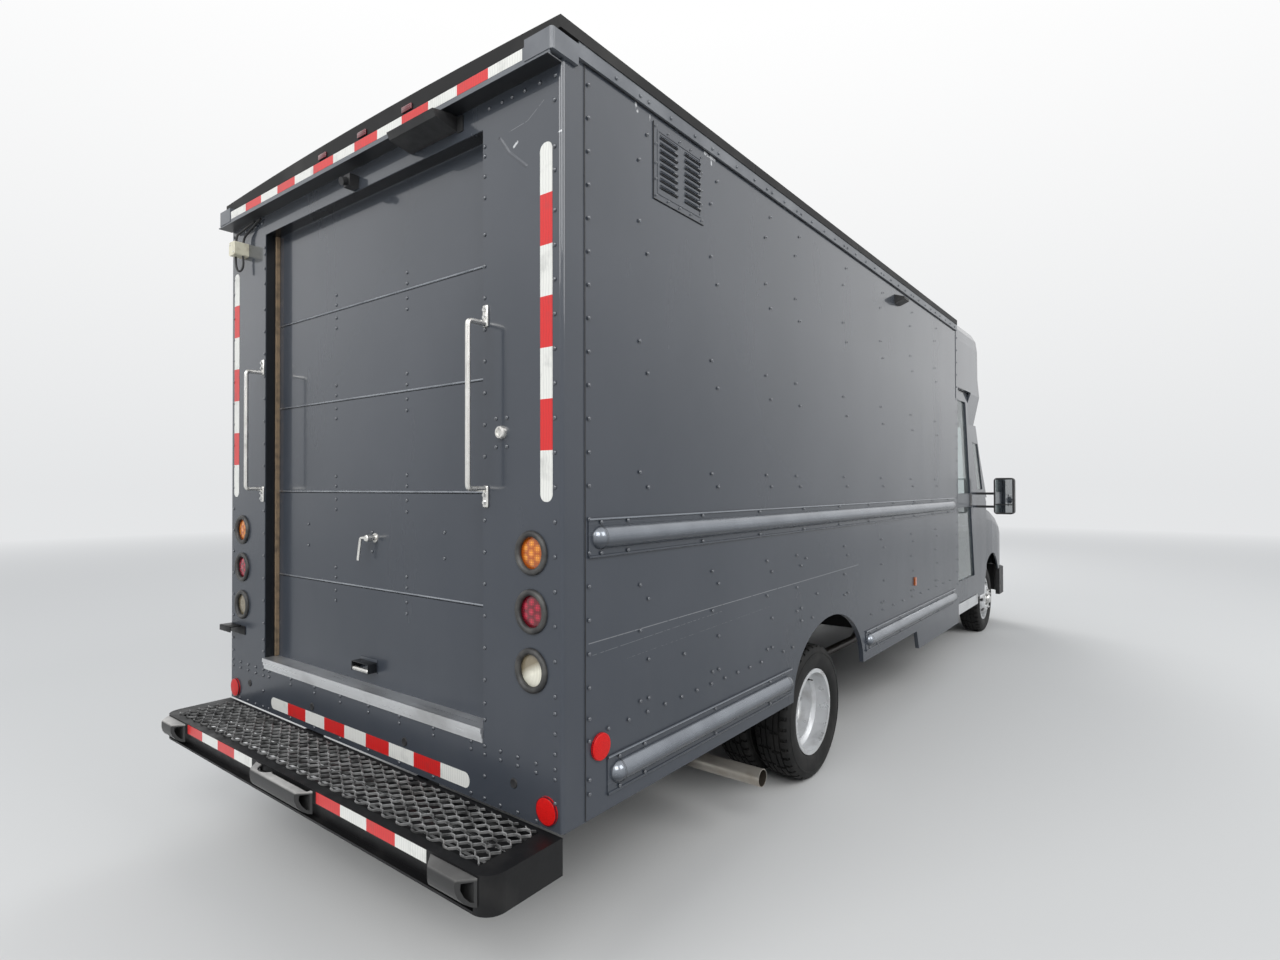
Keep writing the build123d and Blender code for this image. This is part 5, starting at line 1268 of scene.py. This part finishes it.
grab_y = REAR_FACE - GRAB_STAND
foot_y = REAR_FACE - FOOT_THICK / 2
bent = []
for side in (-1, 1):
    x = side * GRAB_X
    (low_z, _), (high_z, _) = GRAB_FEET
    bent.append(tube([(x, foot_y, low_z), (x, grab_y + GRAB_BEND, low_z),
                      (x, grab_y, low_z), (x, grab_y, low_z + GRAB_BEND),
                      (x, grab_y, high_z - GRAB_BEND), (x, grab_y, high_z), (x, grab_y + GRAB_BEND, high_z),
                      (x, foot_y, high_z)], GRAB_RADIUS))
    for z, way in GRAB_FEET:
        ends = sorted((z - way * 0.010, z + way * FOOT_LENGTH))
        bent.append(slab((x - FOOT_HALF, REAR_FACE - FOOT_THICK, ends[0]),
                         (x + FOOT_HALF, REAR_FACE + 0.001, ends[1]), 0.0045, 3))
latch = spun(LATCH_HALF, 28)
latch.location = (LATCH_PLACE[0], door_face, LATCH_PLACE[1])
latch.rotation_euler = FACINGS["rear"]
lever_y = door_face - LEVER_STAND
lever_x, lever_z = LATCH_PLACE
lever = tube([(lever_x, lever_y, lever_z), (lever_x - 0.028, lever_y, lever_z),
              (lever_x - 0.046, lever_y, lever_z), (lever_x - 0.049, lever_y - 0.002, lever_z - 0.018),
              (lever_x - 0.059, lever_y - 0.004, lever_z - LEVER_DROP)],
             LEVER_RADIUS)
grip_y = door_face - PULL_DEPTH + GRIP_RADIUS
grip_z = PULL_Z - GRIP_DROP
grip_half = PULL_HALF - 0.004
grip = lathe([(-grip_half, grip_y, grip_z), (-grip_half, grip_y, grip_z + 0.005),
              (-grip_half + 0.004, grip_y, grip_z + GRIP_RADIUS),
              (grip_half - 0.004, grip_y, grip_z + GRIP_RADIUS),
              (grip_half, grip_y, grip_z + 0.005), (grip_half, grip_y, grip_z)],
             centre=(0, grip_y, grip_z), steps=20)
handles = settle(unite(bent + [latch, lever, grip]), "bent_handles", stainless, smooth=35)
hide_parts("rear_handles")
folded = [slab((-PULL_HALF, door_face - 0.003, PULL_Z - 0.040),
               (PULL_HALF, door_face + 0.0005, PULL_Z + 0.014), 0.001),
          slab((-PULL_HALF, door_face - PULL_DEPTH, PULL_Z),
               (PULL_HALF, door_face, PULL_Z + PULL_SHEET), 0.001)]
for side in (-1, 1):
    inner, outer = sorted((side * PULL_HALF, side * (PULL_HALF - PULL_SHEET)))
    folded.append(slab((inner, door_face - PULL_DEPTH, grip_z - GRIP_RADIUS),
                       (outer, door_face, PULL_Z + 0.001), 0.001))
settle(unite(folded), "folded_pull", paint)
lock = spun(LOCK_HALF, 36)
lock_copy = repeat(lock, [(LOCK_PLACE[0], REAR_FACE, LOCK_PLACE[1])], "rear")[0]
settle(lock_copy, "post_lock", stainless, smooth=30)
bpy.data.objects.remove(lock)
lock_spots = [(LOCK_PLACE[0] + across, REAR_FACE, LOCK_PLACE[1] + up)
              for across in (-0.028, 0.022) for up in (-0.045, 0.045)]
settle(unite(repeat(head, lock_spots, "rear")), "lock_rivets", rivet_highlit_paint)
bolt = unite([round_bar((0, 0, 0), (0, 0, 0.0016), 0.0085, 20),
              round_bar((0, 0, 0.0016), (0, 0, 0.0060), 0.0062, 6)])
take(bolt)
bpy.ops.object.transform_apply(location=True, rotation=True, scale=True)
bolts = [(side * GRAB_X, REAR_FACE - FOOT_THICK, z + way * step) for side in (-1, 1) for z, way in GRAB_FEET
         for step in PAD_STEPS]
settle(unite(repeat(bolt, bolts, "rear")), "handle_bolts", plated, smooth=30)
bpy.data.objects.remove(bolt)

# Dock bumpers
# Three hollow rubber mouldings along the front of the step, cut off aslant at both ends. The
# middle one is torn open along its top, and dust lies on the upper faces.
DOCK_SECTION = [
    # out from the step's lip, height
    (0.0, 0.4985), (0.030, 0.4975), (0.0365, 0.4955), (0.0405, 0.4900), (0.0415, 0.4820),
    (0.0405, 0.4650), (0.0350, 0.4480), (0.0240, 0.4330), (0.0100, 0.4240), (0.0, 0.4225),
]
DOCK_HOLLOW = [(0.0060, 0.4890), (0.0300, 0.4870), (0.0310, 0.4700), (0.0240, 0.4510), (0.0130, 0.4370),
               (0.0060, 0.4350)]
DOCK_ROWS = ((-1.058, -0.872), (-0.200, 0.212), (0.8616, 1.061))
TORN_PLACE = (-0.108, 0.058)
TORN_STRIP = (-0.060, 0.200)


def moulding(section, low_x, high_x, lip_y):
    """A bar with the section's outline, drawn out between two ends."""
    outline_points = [(low_x, lip_y - out, height) for out, height in section]
    piece = trace(outline_points + outline_points[:1])
    bpy.ops.mesh.select_all(action="SELECT")
    bpy.ops.mesh.remove_doubles(threshold=0.0001)
    bpy.ops.mesh.select_all(action="SELECT")
    bpy.ops.mesh.edge_face_add()
    bpy.ops.mesh.extrude_region_move(TRANSFORM_OT_translate={"value": (high_x - low_x, 0, 0)})
    bpy.ops.mesh.select_all(action="SELECT")
    bpy.ops.mesh.normals_make_consistent(inside=False)
    bpy.ops.object.mode_set(mode="OBJECT")
    return piece


def cut_away(piece, tool):
    """Takes one shape out of another."""
    take(piece)
    cut = piece.modifiers.new("cut", "BOOLEAN")
    cut.operation = "DIFFERENCE"
    cut.object = tool
    bpy.ops.object.modifier_apply(modifier="cut")
    bpy.data.objects.remove(tool)


docks = []
for low_x, high_x in DOCK_ROWS:
    dock = moulding(DOCK_SECTION, low_x, high_x, step_face)
    take(dock)
    bpy.ops.object.mode_set(mode="EDIT")
    for end_x, way in ((low_x, -1), (high_x, 1)):
        bpy.ops.mesh.select_all(action="SELECT")
        bpy.ops.mesh.bisect(plane_co=(end_x, step_face, 0), plane_no=(way, -1, 0), use_fill=True,
                            clear_outer=True)
    bpy.ops.object.mode_set(mode="OBJECT")
    cut_away(dock, moulding(DOCK_HOLLOW, low_x - 0.1, high_x + 0.1, step_face))
    if low_x < 0 < high_x:
        middle, reach = TORN_PLACE
        clear_choice()
        bpy.ops.mesh.primitive_cylinder_add(vertices=32, radius=reach, depth=0.04,
                                            location=(middle, step_face + 0.026, DOCK_SECTION[0][1]))
        cut_away(dock, bpy.context.object)
        cut_away(dock, slab((TORN_STRIP[0], step_face - 0.013, 0.4880),
                            (TORN_STRIP[1], step_face + 0.01, 0.52), 0.004))
    docks.append(dock)
dock_rubber = new_finish("dock_rubber", GROMMET, 0.42)
dock_place = axes(dock_rubber)
dock_dust = ramp(dock_rubber, dock_place["Z"], 0.4905, 0.4965, 0.0, 0.95)
kept_clean = ramp(dock_rubber, dock_place["X"], 0.4, 0.7, 1.0, 0.3)
dock_dust = sum_up(dock_rubber, "MULTIPLY", dock_dust, kept_clean)
dust_share = ramp(dock_rubber, noise(dock_rubber, 5, 5.0), 0.35, 0.6, 0.45, 1.0)
dock_dust = sum_up(dock_rubber, "MULTIPLY", dock_dust, dust_share)
set_surface(dock_rubber, "Base Color", blend_colours(dock_rubber, dock_dust, GROMMET, (0.58, 0.565, 0.54)))
roughen(dock_rubber, [(noise(dock_rubber, 1, 2.0, scale=(4, 90, 90)), 0.25, 0.002),
                      (noise(dock_rubber, 260), 0.15, 0.0008)])
hollow = settle(unite(docks), "hollow_bumpers", dock_rubber, smooth=35)
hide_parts("dock_bumpers")

# Junction box, camera and lamp head
# A small ivory plastic box screwed to the left post under the gutter, fed by black cables. The
# camera has a glass eye, and the black lamp head a clear lens on its sloping underside.
IVORY = (0.66, 0.63, 0.50)
CABLES = (
    # points from the box's lid to the gutter, and the loop under the box
    ((-0.962, -0.040, 2.655), (-0.962, -0.040, 2.695), (-0.930, -0.030, 2.708), (-0.840, -0.012, 2.742)),
    ((-0.935, -0.020, 2.655), (-0.935, -0.018, 2.680), (-0.900, -0.014, 2.704), (-0.790, -0.008, 2.745)),
    ((-0.966, -0.040, 2.600), (-0.966, -0.040, 2.560), (-0.955, -0.036, 2.530), (-0.940, -0.030, 2.525),
     (-0.928, -0.024, 2.540), (-0.926, -0.022, 2.575), (-0.930, -0.024, 2.600)),
)
CABLE_RADIUS = 0.0048
ivory = new_finish("ivory_plastic", IVORY, 0.45)
patchy(ivory, IVORY, (0.42, 0.38, 0.28), 30, 0.45, 0.75)
roughen(ivory, [(noise(ivory, 200), 0.1, 0.0006)])
dress(ivory, "junction_box")

cables = [tube([(x, REAR_FACE + y, z) for x, y, z in points], CABLE_RADIUS) for points in CABLES]
settle(unite(cables), "junction_cables", joint_and_shade, smooth=60)
screws = [(-0.970, REAR_FACE - 0.062, 2.646), (-0.936, REAR_FACE - 0.062, 2.610)]
settle(unite(repeat(small_head, screws, "rear")), "junction_screws", plated)

# Step tread
# A sheet of expanded steel laid in the step frame: strands bent to and fro between short bonds,
# painted black and rubbed to bright metal along the top edges, with dust trodden into it.
LONG_WAY = 0.076
SHORT_WAY = 0.038
BOND = 0.016
STRAND_WIDTH = 0.0028
STRAND_DEPTH = 0.0085
STRAND_TILT = 0.0022
BAR_REACH = 1.05
BAR_PITCH = 0.076
BAR_WIDTH = 0.060
tread_metal = new_finish("trodden_steel", BLACK, 0.5, gloss=0.2)
tread_place = axes(tread_metal)
tread_low, tread_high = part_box("step_tread")
on_top = ramp(tread_metal, tread_place["Z"], tread_high.z - 0.0044, tread_high.z - 0.0030)
wear = ramp(tread_metal, noise(tread_metal, 26, 6.0), 0.34, 0.62, 0.15, 1.0)
worn = blend_colours(tread_metal, sum_up(tread_metal, "MULTIPLY", on_top, wear), BLACK, (0.30, 0.30, 0.295))
trodden = ramp(tread_metal, noise(tread_metal, 4.2, 6.0), 0.58, 0.72, 0.0, 0.5)
set_surface(tread_metal, "Base Color", blend_colours(tread_metal, trodden, worn, (0.14, 0.125, 0.108)))
roughen(tread_metal, [(noise(tread_metal, 260), 0.15, 0.0008)])
leg_x = LONG_WAY / 2 - BOND
leg_y = SHORT_WAY / 2
strand = trace([(0, 0, 0), (BOND, 0, 0), (BOND + leg_x, leg_y, STRAND_TILT),
                (2 * BOND + leg_x, leg_y, STRAND_TILT),
                (LONG_WAY, 0, 0)])
bpy.ops.mesh.select_all(action="SELECT")
bpy.ops.mesh.extrude_region_move(TRANSFORM_OT_translate={"value": (0, STRAND_WIDTH, 0.0010)})
bpy.ops.mesh.select_all(action="SELECT")
bpy.ops.mesh.normals_make_consistent(inside=False)
take(strand)
columns = math.ceil((tread_high.x - tread_low.x) / LONG_WAY) + 1
rows = math.ceil((tread_high.y - tread_low.y) / SHORT_WAY) + 1
run = strand.modifiers.new("run", "ARRAY")
run.use_relative_offset = False
run.use_constant_offset = True
run.constant_offset_displace = (LONG_WAY, 0, 0)
run.count = columns
run.use_merge_vertices = True
bpy.ops.object.modifier_apply(modifier="run")
lower = twin(strand, (-LONG_WAY / 2, SHORT_WAY / 2, 0))
strand = unite([strand, lower])
spread = strand.modifiers.new("across", "ARRAY")
spread.use_relative_offset = False
spread.use_constant_offset = True
spread.constant_offset_displace = (0, SHORT_WAY, 0)
spread.count = rows
bpy.ops.object.modifier_apply(modifier="across")
strand.location = (tread_low.x - LONG_WAY / 2, tread_low.y - SHORT_WAY / 2,
                   tread_high.z - STRAND_TILT - 0.0012)
bpy.ops.object.transform_apply(location=True, rotation=False, scale=False)
bpy.ops.object.mode_set(mode="EDIT")
for edge_co, edge_no in (((tread_low.x, 0, 0), (-1, 0, 0)), ((tread_high.x, 0, 0), (1, 0, 0)),
                         ((0, tread_low.y, 0), (0, -1, 0)), ((0, tread_high.y, 0), (0, 1, 0))):
    bpy.ops.mesh.select_all(action="SELECT")
    bpy.ops.mesh.bisect(plane_co=edge_co, plane_no=edge_no, clear_outer=True)
bpy.ops.object.mode_set(mode="OBJECT")
gauge = strand.modifiers.new("gauge", "SOLIDIFY")
gauge.thickness = STRAND_DEPTH
gauge.offset = -1
bpy.ops.object.modifier_apply(modifier="gauge")
settle(strand, "expanded_tread", tread_metal, smooth=25)
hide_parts("step_tread")
# Black support bars under the tread, wide and close together so that its openings show dark: in part the
# step's frame, in part painted shade.
bars = [slab((-1.06, REAR_FACE - 0.022, 0.470), (1.06, REAR_FACE, 0.500), 0.001)]
first_bar = step_face + 0.030
bars += [slab((-BAR_REACH, first_bar + BAR_PITCH * step, 0.466),
              (BAR_REACH, first_bar + BAR_PITCH * step + BAR_WIDTH, 0.472), 0.001)
         for step in range(3)]
settle(unite(bars), "step_shade_bars", black_paint)

# Cab glass, mirrors and trim
# Laminated and tempered panes with a faint green tint, silvered mirror glasses, and grained
# plastic and woven cloth inside.
glass = new_finish("tinted_glass", (0.70, 0.76, 0.76), 0.02)
glass_shader = glass.node_tree.nodes["Principled BSDF"]
glass_shader.inputs["Transmission Weight"].default_value = 0.92
glass_shader.inputs["IOR"].default_value = 1.25
vary_gloss(glass, 0.01, 0.06, 6, 4.0, start=0.4, end=0.8)
dress(glass, "cab_windows", "door_glass_right", "door_glass_left", "headlamps")
silvering = new_finish("mirror_silver", (0.82, 0.84, 0.84), 0.02, metal=1.0)
vary_gloss(silvering, 0.01, 0.06, 20, 4.0, start=0.4, end=0.8)
dress(silvering, "mirror_glass")
trim = new_finish("grained_trim", (0.035, 0.035, 0.037), 0.6)
patchy(trim, (0.035, 0.035, 0.037), (0.055, 0.054, 0.052), 8)
roughen(trim, [(noise(trim, 500, 1.5), 0.25, 0.0006)])
dress(trim, "dashboard", "steering_wheel")
fabric = new_finish("seat_weave", (0.05, 0.052, 0.06), 0.9)
weave = add_node(fabric, "ShaderNodeTexChecker", Scale=260)
join_up(fabric, object_place(fabric), weave.inputs["Vector"])
patchy(fabric, (0.04, 0.042, 0.05), (0.075, 0.078, 0.088), 40)
roughen(fabric, [(weave.outputs["Fac"], 0.3, 0.0008)])
dress(fabric, "driver_seat")
# The grey gutter over the rear opening. Below its band and behind its face it turns near black and loses
# its coat: painted shade on its underside.
GUTTER_LOW = 2.7545
GUTTER_STAND = 0.0585
gutter_paint = new_finish("gutter_grey", RAIL_GREY, 0.35, coat=0.4)
rail_wear = ramp(gutter_paint, noise(gutter_paint, 4, 5.0), 0.5, 0.85)
worn_rail = blend_colours(gutter_paint, rail_wear, RAIL_GREY, RAIL_WORN)
gutter_place = axes(gutter_paint)
shaded_underside = all_of(gutter_paint, short_of(gutter_paint, gutter_place["Z"], GUTTER_LOW),
                    past(gutter_paint, gutter_place["Y"], REAR_FACE - GUTTER_STAND))
set_surface(gutter_paint, "Base Color", blend_colours(gutter_paint, shaded_underside, worn_rail, REVEAL_SHADE))
set_surface(gutter_paint, "Coat Weight", ramp(gutter_paint, shaded_underside, 0.0, 1.0, 0.4, 0.0))
roughen(gutter_paint, [(noise(gutter_paint, 90), 0.06, 0.001)])
dress(gutter_paint, "rear_visor")

# Cab fittings
# Flush pull handles of moulded plastic with a plated lock on each sliding door, two wipers
# parked along the foot of the windshield, a dark screen behind the grille, and bright bowls
# behind the headlamp glasses.
HANDLE_Y = 1.715
HANDLE_Z = 1.336
DOOR_PLATES = (
    # rise off the door, back, ahead, low, high, soft edge
    (0.0020, -0.045, 0.035, 0.0, 0.108, 0.0008), (0.0034, -0.032, -0.008, 0.036, 0.100, 0.0012),
)
DOOR_LOCK_Z = HANDLE_Z + 0.018
DOOR_LOCK_RISE = 0.0036
DOOR_LOCK_RADIUS = 0.009
SHIELD_FRONT = 2.810
SHIELD_FOOT = 1.400
SHIELD_LEAN = 0.7606
SHIELD_RADIUS = 3.145
WIPERS = (
    # pivot, blade from, blade to
    (0.62, -0.06, 0.50), (-0.10, -0.78, -0.22),
)
BLADE_Z = SHIELD_FOOT + 0.055
BLADE_RADIUS = 0.0055
ARM_RADIUS = 0.0060
PIVOT_Z = SHIELD_FOOT + 0.006
PIVOT_RADIUS = 0.015
BOWL_PLACE = (0.715, 3.628, 0.8875)
BOWL_HALF = [(0.0, 0.0), (0.020, 0.002), (0.045, 0.018), (0.066, 0.045), (0.072, 0.062), (0.074, 0.062),
             (0.068, 0.043), (0.046, 0.015), (0.020, -0.002), (0.0, -0.004)]
BULB_RISE = 0.036
BULB_RADIUS = 0.007


def on_shield(x, z, stand):
    """A point so far in front of the curved windshield."""
    bow = SHIELD_RADIUS - math.sqrt(SHIELD_RADIUS ** 2 - x ** 2)
    y = SHIELD_FRONT - SHIELD_LEAN * (z - SHIELD_FOOT) - bow
    return Vector((x, y, z)) + Vector((0, 1, SHIELD_LEAN)).normalized() * stand


door_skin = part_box("cab_door_right")[1].x
for side, side_name in ((1, "right"), (-1, "left")):
    plates = []
    for rise, back, ahead, low_z, high_z, soft in DOOR_PLATES:
        low_x, high_x = sorted((side * (door_skin - SUNK), side * (door_skin + rise)))
        plates.append(slab((low_x, HANDLE_Y + back, HANDLE_Z + low_z),
                           (high_x, HANDLE_Y + ahead, HANDLE_Z + high_z), soft))
    settle(unite(plates), "cab_door_pull_" + side_name, plastic, "cab_door_" + side_name)
    barrel = round_bar((side * (door_skin + 0.001), HANDLE_Y, DOOR_LOCK_Z),
                       (side * (door_skin + DOOR_LOCK_RISE), HANDLE_Y, DOOR_LOCK_Z), DOOR_LOCK_RADIUS, 24)
    settle(barrel, "cab_door_lock_" + side_name, plated, "cab_door_" + side_name, 30)
grille_low, grille_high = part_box("grille")
screen = [slab((grille_low.x + 0.004, grille_low.y - 0.016, grille_low.z),
               (grille_high.x - 0.004, grille_low.y - 0.012, grille_high.z))]
settle(unite(screen), "grille_screen", plastic)
wiper_parts = []
for pivot_x, from_x, to_x in WIPERS:
    steps = [from_x + (to_x - from_x) * step / 6 for step in range(7)]
    wiper_parts.append(tube([on_shield(x, BLADE_Z, 0.006) for x in steps], BLADE_RADIUS))
    middle = on_shield((from_x + to_x) / 2, BLADE_Z, 0.018)
    foot, seat, cap = [on_shield(pivot_x, PIVOT_Z, stand) for stand in (0.014, 0.0, 0.024)]
    bowed = foot.lerp(middle, 0.5) + Vector((0, 0.006, 0.005))
    wiper_parts.append(tube([foot, bowed, middle], ARM_RADIUS))
    wiper_parts.append(round_bar(seat, cap, PIVOT_RADIUS, 20))
settle(unite(wiper_parts), "windshield_wipers", plastic)
bowl = unite([spun(BOWL_HALF, 28), round_bar((0, 0, 0), (0, 0, BULB_RISE), BULB_RADIUS, 12)])
bowls = repeat(bowl, [(side * BOWL_PLACE[0], BOWL_PLACE[1], BOWL_PLACE[2]) for side in (-1, 1)], "front")
settle(unite(bowls), "headlamp_bowls", silvering, smooth=35)
bpy.data.objects.remove(bowl)

bpy.data.objects.remove(head)
bpy.data.objects.remove(small_head)
